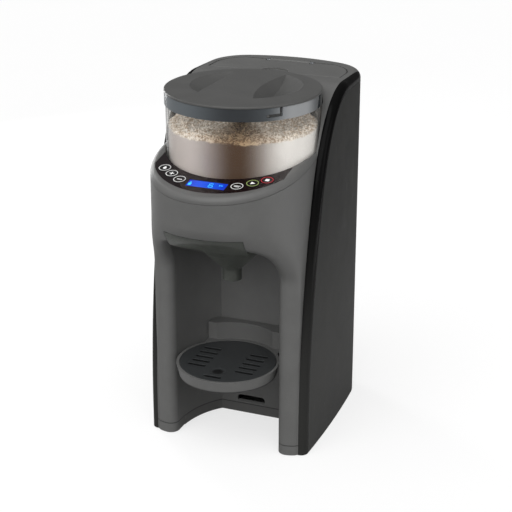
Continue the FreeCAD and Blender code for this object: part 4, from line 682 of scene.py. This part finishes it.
# ------------------------------------------------------------------ mesh tools
class Piece:
    """A mesh under construction that ends as one object at the origin."""

    def __init__(self, name: str) -> None:
        """Start an empty mesh."""
        self.name = name
        self.mesh = bmesh.new()

    def turn(self, profile: Sequence[Point], steps: int = 96, closed: bool = False) -> "Piece":
        """Spin a profile of (radius, height) points round the Z axis.

        Args:
            profile: The points, in metres, from one end to the other.
            steps: How many faces go round.
            closed: True where the last point joins the first.

        Returns:
            This piece.
        """
        made = [self.mesh.verts.new((radius, 0.0, height)) for radius, height in profile]
        pairs = list(zip(made, made[1:])) + ([(made[-1], made[0])] if closed else [])
        edges = [self.mesh.edges.new(pair) for pair in pairs]
        bmesh.ops.spin(
            self.mesh, geom=made + edges, cent=(0, 0, 0), axis=(0, 0, 1),
            angle=math.tau, steps=steps, use_merge=True,
        )
        return self.tidy()

    def plate(self, outline: Sequence[Point], low: float, high: float) -> "Piece":
        """Push a flat outline up into a plate.

        Args:
            outline: The corners in order, in metres.
            low: The plate's lower face.
            high: The plate's upper face.

        Returns:
            This piece.
        """
        corners = [self.mesh.verts.new((x, y, low)) for x, y in outline]
        face = self.mesh.faces.new(corners)
        pushed = bmesh.ops.extrude_face_region(self.mesh, geom=[face])["geom"]
        moved = [item for item in pushed if isinstance(item, bmesh.types.BMVert)]
        bmesh.ops.translate(self.mesh, verts=moved, vec=(0, 0, high - low))
        return self.tidy()

    def tidy(self) -> "Piece":
        """Merge doubled points and turn every face outwards."""
        bmesh.ops.remove_doubles(self.mesh, verts=self.mesh.verts[:], dist=1e-7)
        bmesh.ops.recalc_face_normals(self.mesh, faces=self.mesh.faces[:])
        return self

    def moved(self, where: Matrix) -> "Piece":
        """Carry the whole mesh to its place."""
        bmesh.ops.transform(self.mesh, matrix=where, verts=self.mesh.verts[:])
        return self

    def done(self, finish: Finish, body: str, slot: str, smooth_angle: float = 35.0) -> bpy.types.Object:
        """Make the object, dress it and let it ride on a body.

        Args:
            finish: Its finish.
            body: The body that it moves with.
            slot: Not used; the record's material slot that it belongs to.
            smooth_angle: Edges sharper than this many degrees stay sharp.

        Returns:
            The new object.
        """
        data = bpy.data.meshes.new(self.name)
        for one in self.mesh.faces:
            one.smooth = True
        limit = math.radians(smooth_angle)
        for edge in self.mesh.edges:
            edge.smooth = len(edge.link_faces) == 2 and edge.calc_face_angle(0.0) < limit
        self.mesh.to_mesh(data)
        self.mesh.free()
        made = bpy.data.objects.new(self.name, data)
        bpy.context.scene.collection.objects.link(made)
        data.materials.append(finish.material())
        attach(made, body)
        LOG.info("piece %s rides on %s with %d faces", self.name, body, len(data.polygons))
        return made


def dress(finish: Finish, *names: str) -> None:
    """Give frame nodes a finish.

    Args:
        finish: The finish.
        *names: The nodes.
    """
    for name in names:
        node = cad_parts[name]
        node.data.materials.clear()
        node.data.materials.append(finish.material())
        LOG.info("node %s wears %s", name, getattr(finish, "name"))


# ------------------------------------------------------------------ palette
class Grey(Enum):
    """The plastics of the outer shells."""

    BODY = MouldedPlastic("body_grey", shade(92, 92, 91), rough=0.42, sheen=0.36)
    BASE = SeamedPlastic("base_grey", shade(92, 92, 91), rough=0.42, sheen=0.42)
    # Painted light: a lighter copy of the base grey, so the bay's walls read less shaded.
    LINER = SeamedPlastic("liner_grey", shade(97, 97, 96), rough=0.42)
    LID = MouldedPlastic("lid_grey", shade(80, 80, 79), rough=0.38, sheen=0.3)
    # Painted light: the side panels grow paler towards the foot.
    SIDE = GradedPlastic(
        "side_charcoal", shade(43, 43, 42), rough=0.45, spread=0.04, sheen=0.08, foot=shade(64, 64, 63)
    )
    # Painted shade: the tray darkens inside under its grate, and the grate darkens down its slot walls.
    TRAY = HollowPlastic(
        "tray_grey", shade(94, 94, 93), rough=0.38, level=94.6 * MM, radius=54.0 * MM, axis_y=-68.9 * MM
    )
    GRATE = HollowPlastic(
        "grate_black", shade(44, 46, 47), rough=0.42, level=97.3 * MM, soft=0.5 * MM, axis_y=-68.9 * MM
    )
    INNER = MouldedPlastic("inner_black", shade(46, 46, 47), rough=0.5)
    NYLON = MouldedPlastic("gear_nylon", shade(214, 210, 198), rough=0.38, rub=0.1)


@dataclass
class Shells:
    """The outer shells: base, front, hood, rear, side panels, glossy trims and the bay liner."""

    # Painted light: the trims grow paler towards the foot.
    trim: GlossPlastic = field(
        default_factory=lambda: GradedGloss(
            "trim_black", shade(8, 8, 8), 0.18, 0.08, 0.02, shine=0.05, foot=shade(46, 46, 45)
        )
    )

    def build(self) -> None:
        """Dress every shell."""
        dress(Grey.BASE.value, "base_plate", "front_shell")
        dress(Grey.BODY.value, "hood", "hopper_seat", "rear_cover")
        dress(Grey.LINER.value, "bay_liner")
        dress(Grey.SIDE.value, "side_panel_right", "side_panel_left")
        dress(self.trim, "side_trim_right", "side_trim_left")


# ------------------------------------------------------------------ console
class Sign(Enum):
    """The signs on the keys."""

    DROP = "drop"
    BARS = "bars"
    PLUS = "plus"
    MINUS = "minus"
    GO = "go"
    STOP = "stop"


@dataclass
class Console:
    """Glossy crescent panel with its display and six round keys.

    Heights over the panel are along its normal, and places are (x, y) on it.
    """

    slope: float = 0.2
    edge_y: float = -136.0 * MM
    edge_z: float = 312.2 * MM
    key_radius: float = 6.8 * MM
    key_proud: float = 0.7 * MM
    key_deep: float = 3.2 * MM
    ring_radius: float = 6.05 * MM
    ring_width: float = 0.85 * MM
    sign_scale: float = 1.3 * MM
    ring_proud: float = 0.12 * MM
    groove: float = 0.15 * MM
    dish: float = 0.25 * MM
    arc_radius: float = 79.4 * MM
    arc_y: float = -56.7 * MM
    lcd_y: float = -119.7 * MM
    lcd_drop: float = 0.4 * MM
    mark_low: float = 0.05 * MM
    mark_high: float = 0.08 * MM
    digit_size: Tuple[float, float, float] = (4.2 * MM, 7.0 * MM, 0.75 * MM)
    digit_place: Point = (4.6 * MM, 0.0)
    bottle_place: Point = (-18.2 * MM, -0.4 * MM)
    unit_place: Point = (15.2 * MM, 1.6 * MM)
    turns: Tuple[float, float, float] = (27.9, 41.7, 54.3)
    set_in: Tuple[float, float, float] = (11.9 * MM, 12.3 * MM, 9.5 * MM)
    left_signs: Tuple[Sign, Sign, Sign] = (Sign.MINUS, Sign.PLUS, Sign.DROP)
    right_signs: Tuple[Sign, Sign, Sign] = (Sign.BARS, Sign.GO, Sign.STOP)

    def place(self, x: float, y: float) -> Matrix:
        """Return the matrix that carries a flat piece to a point of the panel."""
        tilt = math.atan(self.slope)
        z = self.edge_z + self.slope * (y - self.edge_y)
        return Matrix.Translation((x, y, z)) @ Matrix.Rotation(tilt, 4, "X")

    def key_cap(self, name: str, where: Matrix, ink: Finish) -> None:
        """Build one dished key cap with the groove for its ring.

        Args:
            name: The node that it replaces, and its body.
            where: Its place on the panel.
            ink: The finish of its ring.
        """
        top = self.key_proud
        inner, outer = self.ring_radius - self.ring_width / 2, self.ring_radius + self.ring_width / 2
        dish = [(inner * share, top - self.dish * deep) for share, deep in DISH_SHAPE]
        groove = [
            (inner - 0.1 * MM, top - 0.03 * MM), (inner, top - self.groove),
            (outer, top - self.groove), (outer + 0.06 * MM, top - 0.05 * MM),
        ]
        side = [
            (self.key_radius - 0.08 * MM, top - 0.2 * MM), (self.key_radius, top - 0.5 * MM),
            (self.key_radius, -self.key_deep), (0.0, -self.key_deep),
        ]
        profile = dish + groove + side
        cap = Piece("cap_" + name).turn(profile, 64).moved(where)
        made = cap.done(GlossPlastic("key_black", shade(17, 14, 15), 0.12, dust=0.0), name, "key_face")
        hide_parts(name)
        lift = top - self.groove - 0.02 * MM
        shoulder, crown = lift + self.ring_proud * 1.6, lift + self.ring_proud * 2.2
        ring = [
            (inner + 0.04 * MM, lift), (outer - 0.04 * MM, lift), (outer - 0.06 * MM, shoulder),
            (self.ring_radius, crown), (inner + 0.06 * MM, shoulder),
        ]
        Piece("ring_" + name).turn(ring, 64, closed=True).moved(where).done(ink, name, "key_face", 50)

    def sign(self, name: str, sign: Sign, where: Matrix) -> None:
        """Build the printed sign on a key.

        Args:
            name: The key's body.
            sign: Which sign.
            where: The key's place on the panel.
        """
        low = self.key_proud - self.dish - 0.05 * MM
        high = self.key_proud - self.dish * 0.55
        # Painted light: the printed signs glow faintly.
        ink = PrintedInk("key_print", shade(226, 226, 226), 0.3)
        mark = Piece("sign_" + name)
        for outline in SIGN_OUTLINES[sign]:
            mark.plate([(x * self.sign_scale, y * self.sign_scale) for x, y in outline], low, high)
        mark.moved(where).done(ink, name, "key_face")

    def display(self) -> None:
        """Dress the display and build its lit signs."""
        x0, x1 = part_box("lcd_display")[0].x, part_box("lcd_display")[1].x
        glow = GlowScreen(
            "display_blue", shade(2, 74, 204), shade(2, 46, 178), (0.0, self.lcd_y, 0.0), (x1 - x0) / 2, 1.0
        )
        dress(glow, "lcd_display")
        lit = PrintedInk("display_marks", shade(40, 170, 240), 1.0)
        low, high = -self.lcd_drop - self.mark_low, -self.lcd_drop + self.mark_high
        marks = (
            ("display_digit", seven_segments("acdefg", *self.digit_size), 1.0, self.digit_place),
            ("display_bottle", BOTTLE_SIGN, MM, self.bottle_place),
            ("display_unit", UNIT_SIGN, MM, self.unit_place),
        )
        for name, outlines, size, (left, up) in marks:
            mark = Piece(name)
            for outline in outlines:
                mark.plate([(x * size + left, y * size + up) for x, y in outline], low, high)
            mark.moved(self.place(0.0, self.lcd_y)).done(lit, "housing", "display_blue")

    def build(self) -> None:
        """Build and dress the whole console."""
        dress(GlossPlastic("console_gloss", shade(18, 8, 11), 0.06, dust=0.02, shine=0.35), "console_panel")
        dress(CircuitBoard("board_green"), "key_board")
        self.display()
        # Painted light: the printed rings glow faintly.
        silver = PrintedInk("ring_silver", shade(214, 214, 214), 0.12)
        green = PrintedInk("ring_green", shade(142, 160, 92), 0.1)
        red = PrintedInk("ring_red", shade(176, 30, 44), 0.1)
        rings = {"left": (silver, silver, silver), "right": (silver, green, red)}
        signs = {"left": self.left_signs, "right": self.right_signs}
        for side, way in (("left", -1), ("right", 1)):
            for number, (turn, inset) in enumerate(zip(self.turns, self.set_in)):
                reach = self.arc_radius - inset
                x = way * reach * math.sin(math.radians(turn))
                y = self.arc_y - reach * math.cos(math.radians(turn))
                name = f"key_{side}_{number + 1}"
                where = self.place(x, y)
                self.key_cap(name, where, rings[side][number])
                self.sign(name, signs[side][number], where)


def seven_segments(lit: str, width: float, height: float, thick: float) -> List[List[Point]]:
    """Return the outlines of a seven-segment digit's lit bars.

    Args:
        lit: The letters of the lit segments, a at the top and g in the middle.
        width: The digit's width.
        height: The digit's height.
        thick: The width of one bar.

    Returns:
        One outline for each lit bar, centred on the digit.
    """
    half_w, half_h, t = width / 2, height / 2, thick / 2
    ends = {
        "a": ((-half_w, half_h), (half_w, half_h)), "b": ((half_w, half_h), (half_w, 0.0)),
        "c": ((half_w, 0.0), (half_w, -half_h)), "d": ((-half_w, -half_h), (half_w, -half_h)),
        "e": ((-half_w, 0.0), (-half_w, -half_h)), "f": ((-half_w, half_h), (-half_w, 0.0)),
        "g": ((-half_w, 0.0), (half_w, 0.0)),
    }
    outlines = []
    for letter in lit:
        (x0, y0), (x1, y1) = ends[letter]
        along = Vector((x1 - x0, y1 - y0)).normalized()
        across = Vector((-along.y, along.x)) * t
        start, end = Vector((x0, y0)) + along * t * 0.5, Vector((x1, y1)) - along * t * 0.5
        inner = [start, start + along * t + across, end - along * t + across, end]
        back = [end - along * t - across, start + along * t - across]
        outlines.append([(p.x, p.y) for p in reversed(inner + back)])
    return outlines


SIGN_OUTLINES: Dict[Sign, List[List[Point]]] = {
    Sign.DROP: [[(0, 2.6), (-1.0, 0.9), (-1.5, -0.4), (-1.1, -1.5), (0, -2.0), (1.1, -1.5), (1.5, -0.4),
                 (1.0, 0.9)]],
    Sign.BARS: [
        [(-3.0, 0.9), (-3.0, 0.3), (3.0, 0.3), (3.0, 0.9)],
        [(-2.2, -0.6), (-2.2, -1.2), (2.2, -1.2), (2.2, -0.6)],
    ],
    Sign.PLUS: [[(-0.4, 2.0), (-0.4, 0.4), (-2.0, 0.4), (-2.0, -0.4), (-0.4, -0.4), (-0.4, -2.0), (0.4, -2.0),
                 (0.4, -0.4), (2.0, -0.4), (2.0, 0.4), (0.4, 0.4), (0.4, 2.0)]],
    Sign.MINUS: [[(-2.2, 0.4), (-2.2, -0.4), (2.2, -0.4), (2.2, 0.4)]],
    Sign.GO: [[(-1.4, 1.9), (-1.4, -1.9), (2.2, 0.0)]],
    Sign.STOP: [[(-1.6, 1.6), (-1.6, -1.6), (1.6, -1.6), (1.6, 1.6)]],
}
DISH_SHAPE: List[Point] = [(0.0, 1.0), (0.45, 0.8), (0.8, 0.35)]
BOTTLE_SIGN: List[List[Point]] = [
    [(-1.6, 0.2), (-1.6, -3.4), (1.6, -3.4), (1.6, 0.2), (0.9, 1.0), (-0.9, 1.0)],
    [(-0.8, 1.5), (0.8, 1.5), (0.8, 2.2), (0.35, 3.2), (-0.35, 3.2), (-0.8, 2.2)],
]
UNIT_SIGN: List[List[Point]] = [
    [(-2.4, 0.6), (-2.4, -0.6), (-0.9, -0.6), (-0.9, 0.6)],
    [(-0.2, 0.6), (-0.2, 0.2), (1.6, 0.2), (1.6, 0.6)],
    [(-0.2, -0.2), (-0.2, -0.6), (1.6, -0.6), (1.6, -0.2)],
]


# ------------------------------------------------------------------ hopper
@dataclass
class PowderHeap:
    """The heap of powder: a crumbly top with loose granules over a packed wall."""

    axis_y: float = -23.2 * MM
    radius: float = 79.0 * MM
    low: float = 314.4 * MM
    edge: float = 356.0 * MM
    heap: float = 5.0 * MM
    around: int = 430
    ring_step: float = 1.0 * MM
    wall_steps: int = 12
    crumb: float = 1.2 * MM
    clump: float = 2.0 * MM
    granules: int = 2000
    smallest: float = 0.55
    largest: float = 1.55
    rim_share: float = 0.35
    rim_start: float = 0.93

    def top(self, x: float, y: float) -> float:
        """Return the height of the powder's top at a place.

        Args:
            x: Metres from the middle plane.
            y: Metres from the hopper's axis.

        Returns:
            The height in metres.
        """
        share = min(1.0, math.hypot(x, y) / self.radius)
        spot = Vector((x, y, 0.0))
        large = noise.noise(spot / (34 * MM)) * self.clump * 1.3
        clumps = noise.noise(spot / (8 * MM) + Vector((3, 1, 7))) * self.clump * 0.7
        crumbs = noise.noise(spot / (3.0 * MM) + Vector((9, 2, 4))) * self.crumb
        fine = noise.noise(spot / (1.1 * MM) + Vector((5, 8, 1))) * self.crumb * 0.5
        return self.edge + self.heap * (1 - share * share) + large + clumps + crumbs + fine

    def build(self) -> None:
        """Build the heap and let it ride in the hopper."""
        rings = int(self.radius / self.ring_step)
        depth = self.edge - self.low
        foot = [(0.0, self.low), (self.radius * 0.5, self.low)]
        wall = [(self.radius, self.low + depth * i / self.wall_steps) for i in range(self.wall_steps)]
        top = [(self.radius * (1 - i / rings), self.edge) for i in range(rings)]
        piece = Piece("powder_heap").turn(foot + wall + top + [(0.0, self.edge)], self.around)
        for vert in piece.mesh.verts:
            if vert.co.z > self.edge - 1e-6:
                vert.co.z = self.top(vert.co.x, vert.co.y)
        # The powder's colours hold painted shade (hollow, shadow and the brown crumbs) and painted light (the
        # pale crumbs and the paler wall).
        finish = PowderFinish(
            "powder_cream", crumb=shade(178, 145, 102), hollow=shade(100, 70, 40),
            pale_crumb=shade(240, 232, 222), pale_hollow=shade(186, 168, 148),
            wall=shade(220, 210, 206), wall_painted_light=shade(252, 248, 244),
            shadow=shade(78, 55, 36), axis_y=self.axis_y, edge_z=self.edge,
        )
        to_axis = Matrix.Translation((0, self.axis_y, 0))
        heap = piece.moved(to_axis).done(finish, "hopper", "formula_powder", 60)
        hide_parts("powder")
        self.loose().moved(to_axis).done(finish, "hopper", "formula_powder", 60)

    def loose(self) -> Piece:
        """Build the loose granules that lie on the heap, thickest round its edge."""
        piece = Piece("powder_granules")
        corners = bmesh.ops.create_icosphere(piece.mesh, subdivisions=1, radius=1.0)["verts"]
        each = len(corners)
        while len(piece.mesh.verts) < each * self.granules:
            every = piece.mesh.verts[:] + piece.mesh.edges[:] + piece.mesh.faces[:]
            bmesh.ops.duplicate(piece.mesh, geom=every)
        points = piece.mesh.verts[:]
        rng = random.Random(7)
        for start in range(0, len(points), each):
            size = rng.uniform(self.smallest, self.largest) * MM
            reach = (self.radius - size * 1.2) * math.sqrt(rng.uniform(0.0, 1.0))
            if rng.random() < self.rim_share:
                reach = (self.radius - size * 1.2) * rng.uniform(self.rim_start, 1.0)
            angle = rng.random() * math.tau
            x, y = reach * math.cos(angle), reach * math.sin(angle)
            turn = Matrix.Rotation(rng.random() * math.tau, 4, "Z")
            turn = turn @ Matrix.Rotation(rng.random() * math.tau, 4, "X")
            shape = Matrix.Diagonal((size, size * rng.uniform(0.55, 1.0), size * rng.uniform(0.5, 0.9), 1.0))
            where = Matrix.Translation((x, y, self.top(x, y) + size * 0.3)) @ turn @ shape
            for point in points[start:start + each]:
                point.co = where @ point.co
        return piece


@dataclass
class Hopper:
    """Clear container with its collar, the powder and the dosing parts in it, and the lid."""

    powder: PowderHeap = field(default_factory=PowderHeap)

    def build(self) -> None:
        """Build and dress the whole hopper."""
        clear = ClearPlastic("clear_container", (0.985, 0.985, 0.98), shade(150, 149, 146), 0.008, 0.03, 0.03)
        # Painted shade and a painted highlight: the collar's front and right colours.
        smoke = CollarPlastic(
            "collar_smoke", (0.2, 0.22, 0.24), shade(96, 102, 106), 0.78, 0.1, 0.04,
            axis_y=self.powder.axis_y, front=shade(50, 53, 56), right=shade(164, 166, 168),
        )
        dress(clear, "hopper_container")
        dress(smoke, "hopper_collar")
        dress(Grey.LID.value, "hopper_lid")
        dress(Rubber("seal_grey", shade(120, 122, 124), 0.6, 0.1), "lid_seal")
        dress(Grey.NYLON.value, "dosing_wheel", "stirrer")
        self.powder.build()


# ------------------------------------------------------------------ bay, funnel and tray
@dataclass
class BayFittings:
    """The funnel drawer and the cup tray with its grate."""

    def build(self) -> None:
        """Dress the funnel and tray."""
        smoke = ClearPlastic("funnel_smoke", (0.46, 0.47, 0.44), shade(100, 103, 98), 0.42, 0.12)
        dress(smoke, "funnel", "funnel_cover")
        dress(Grey.TRAY.value, "tray_body")
        dress(Grey.GRATE.value, "tray_grate")


# ------------------------------------------------------------------ tank and inner works
@dataclass
class WaterTank:
    """The rear tank with its lid, hinge pin, valve, spring and seal."""

    def build(self) -> None:
        """Dress the tank's pieces."""
        dress(ClearPlastic("tank_clear", (0.80, 0.81, 0.82), shade(120, 122, 124), 0.12, 0.1), "water_tank")
        dress(Grey.BODY.value, "tank_lid")
        steel = Metal("pin_steel", shade(176, 176, 178))
        dress(steel, "tank_hinge_pin", "valve_spring", "idler_pin", "base_screws")
        dress(Rubber("valve_silicone", shade(196, 196, 190), 0.5, 0.05), "tank_seal", "tank_valve")


@dataclass
class InnerWorks:
    """Gear train, motor, frame, plumbing, boards, inlet and feet."""

    def build(self) -> None:
        """Dress the inner pieces."""
        dress(Grey.INNER.value, "chassis", "gearbox_case", "gearbox_cover", "tank_socket", "power_inlet")
        dress(Grey.NYLON.value, "drive_gear", "idler_gear", "motor_pinion", "water_nozzle", "drive_dog")
        dress(Metal("can_steel", shade(150, 152, 156), 0.32), "drive_motor", "water_heater")
        dress(Grey.INNER.value, "water_pump")
        silicone = Rubber("hose_silicone", shade(205, 205, 198), 0.4, 0.05)
        dress(silicone, "suction_hose", "pump_hose", "hot_hose")
        dress(CircuitBoard("board_green"), "main_board")
        dress(Rubber("foot_rubber", shade(30, 30, 30)), "feet")


# ------------------------------------------------------------------ studio
@dataclass
class SoftBox:
    """One rectangular studio light."""

    name: str
    place: Tuple[float, float, float]
    aim: Tuple[float, float, float]
    width: float
    height: float
    power: float
    hidden: bool = False

    def build(self) -> None:
        """Put the light in the scene."""
        data = bpy.data.lights.new(self.name, "AREA")
        data.shape = "RECTANGLE"
        data.size, data.size_y = self.width, self.height
        data.energy = self.power
        made = bpy.data.objects.new(self.name, data)
        made.location = self.place
        made.rotation_euler = (Vector(self.aim) - Vector(self.place)).to_track_quat("-Z", "Y").to_euler()
        made.visible_camera = not self.hidden
        bpy.context.scene.collection.objects.link(made)


@dataclass
class Studio:
    """Pale floor, pale surround, soft lights and the camera."""

    eye: Tuple[float, float, float] = (0.5388, -1.3273, 0.7464)
    target: Tuple[float, float, float] = (0.0317, -0.0657, 0.2239)
    lens: float = 97.06
    overhead: float = 2.05
    spread: float = 70.0
    lean: Tuple[float, float] = (42.0, 3.0)
    floor_bounce: float = 0.4
    floor_glow: float = 0.7
    behind: float = 0.14
    ahead: float = 0.72
    lights: List[SoftBox] = field(default_factory=lambda: [
        SoftBox("light_left", (-1.8, -0.5, 0.9), (0, 0, 0.25), 0.3, 1.5, 1.2),
        SoftBox("light_right", (1.8, -0.3, 0.8), (0, 0, 0.3), 0.9, 1.2, 3.2),
        SoftBox("light_rim", (-1.05, 0.72, 0.5), (-0.05, -0.05, 0.3), 0.3, 0.9, 7, hidden=True),
        SoftBox("light_low", (0.64, 0.09, 0.11), (0.0, -0.02, 0.34), 0.55, 0.10, 0.42, hidden=True),
    ])

    def camera(self) -> None:
        """Set the camera."""
        data = bpy.data.cameras.new("camera")
        data.lens = self.lens
        data.sensor_width = 36.0
        data.clip_start, data.clip_end = 0.01, 60.0
        made = bpy.data.objects.new("camera", data)
        made.location = self.eye
        made.rotation_euler = (Vector(self.target) - Vector(self.eye)).to_track_quat("-Z", "Y").to_euler()
        bpy.context.scene.collection.objects.link(made)
        bpy.context.scene.camera = made

    def floor(self) -> None:
        """Lay the pale floor."""
        mesh = bmesh.new()
        bmesh.ops.create_circle(mesh, cap_ends=True, radius=9.0, segments=96)
        data = bpy.data.meshes.new("floor")
        mesh.to_mesh(data)
        mesh.free()
        made = bpy.data.objects.new("floor", data)
        bpy.context.scene.collection.objects.link(made)
        data.materials.append(self.floor_paint())

    def floor_paint(self) -> bpy.types.Material:
        """Make the floor's paint: nearly white to look at, dim in what it throws back at the machine."""
        tree = ShaderTree("floor_pale")
        cloud = tree.noise(0.4, 3.0)
        colour = tree.mix(cloud, (0.90, 0.90, 0.90), (0.94, 0.94, 0.94))
        matt = tree.surface(colour, 0.8 + cloud * 0.1, Specular_IOR_Level=0.05)
        light = tree.node("ShaderNodeEmission", inputs={"Color": (1.0, 1.0, 1.0), "Strength": 1.0})
        seen = tree.node("ShaderNodeMixShader", inputs={0: self.floor_glow, 1: matt, 2: light})
        dim = tree.surface((self.floor_bounce,) * 3, 0.9, Specular_IOR_Level=0.0)
        direct = tree.node("ShaderNodeLightPath", output="Is Camera Ray")
        return tree.finish(tree.node("ShaderNodeMixShader", inputs={0: direct, 1: dim, 2: seen}))

    def world(self) -> None:
        """Light the surround: dim behind the machine, brighter in front of it, pale to look at."""
        world = bpy.data.worlds.new("surround")
        bpy.context.scene.world = world
        world.use_nodes = True
        nodes, links = world.node_tree.nodes, world.node_tree.links
        nodes.clear()
        seen, thrown, place, lean = (nodes.new(kind) for kind in (
            "ShaderNodeBackground", "ShaderNodeBackground", "ShaderNodeTexCoord", "ShaderNodeVectorMath"
        ))
        lean.operation = "DOT_PRODUCT"
        lean.inputs[1].default_value = (0.0, -0.8, 0.5)
        ramp = nodes.new("ShaderNodeMapRange")
        ramp.interpolation_type = "SMOOTHSTEP"
        ends = {"From Min": -0.5, "From Max": 0.6, "To Min": self.behind, "To Max": self.ahead}
        for name, value in ends.items():
            ramp.inputs[name].default_value = value
        for one in (seen, thrown):
            one.inputs["Color"].default_value = (1, 1, 1, 1)
        path, mix, out = (nodes.new(kind) for kind in (
            "ShaderNodeLightPath", "ShaderNodeMixShader", "ShaderNodeOutputWorld"
        ))
        links.new(place.outputs["Generated"], lean.inputs[0])
        links.new(lean.outputs["Value"], ramp.inputs["Value"])
        links.new(ramp.outputs[0], thrown.inputs["Strength"])
        links.new(path.outputs["Is Camera Ray"], mix.inputs[0])
        links.new(thrown.outputs[0], mix.inputs[1])
        links.new(seen.outputs[0], mix.inputs[2])
        links.new(mix.outputs[0], out.inputs["Surface"])

    def sky(self) -> None:
        """Hang the broad light overhead, well to the front."""
        data = bpy.data.lights.new("light_overhead", "SUN")
        data.energy = self.overhead
        data.angle = math.radians(self.spread)
        made = bpy.data.objects.new("light_overhead", data)
        made.rotation_euler = (math.radians(self.lean[0]), math.radians(self.lean[1]), 0)
        bpy.context.scene.collection.objects.link(made)

    def build(self) -> None:
        """Put the whole studio together."""
        bpy.context.scene.view_settings.view_transform = "Standard"
        self.sky()
        self.camera()
        self.floor()
        self.world()
        for light in self.lights:
            light.build()


def main() -> None:
    """Build every sub-assembly in order."""
    logging.basicConfig(level=logging.INFO, format="%(name)s: %(message)s")
    for part in (Studio(), Shells(), Console(), Hopper(), BayFittings(), WaterTank(), InnerWorks()):
        LOG.info("building %s", type(part).__name__)
        part.build()


if __name__ == "__main__":
    main()
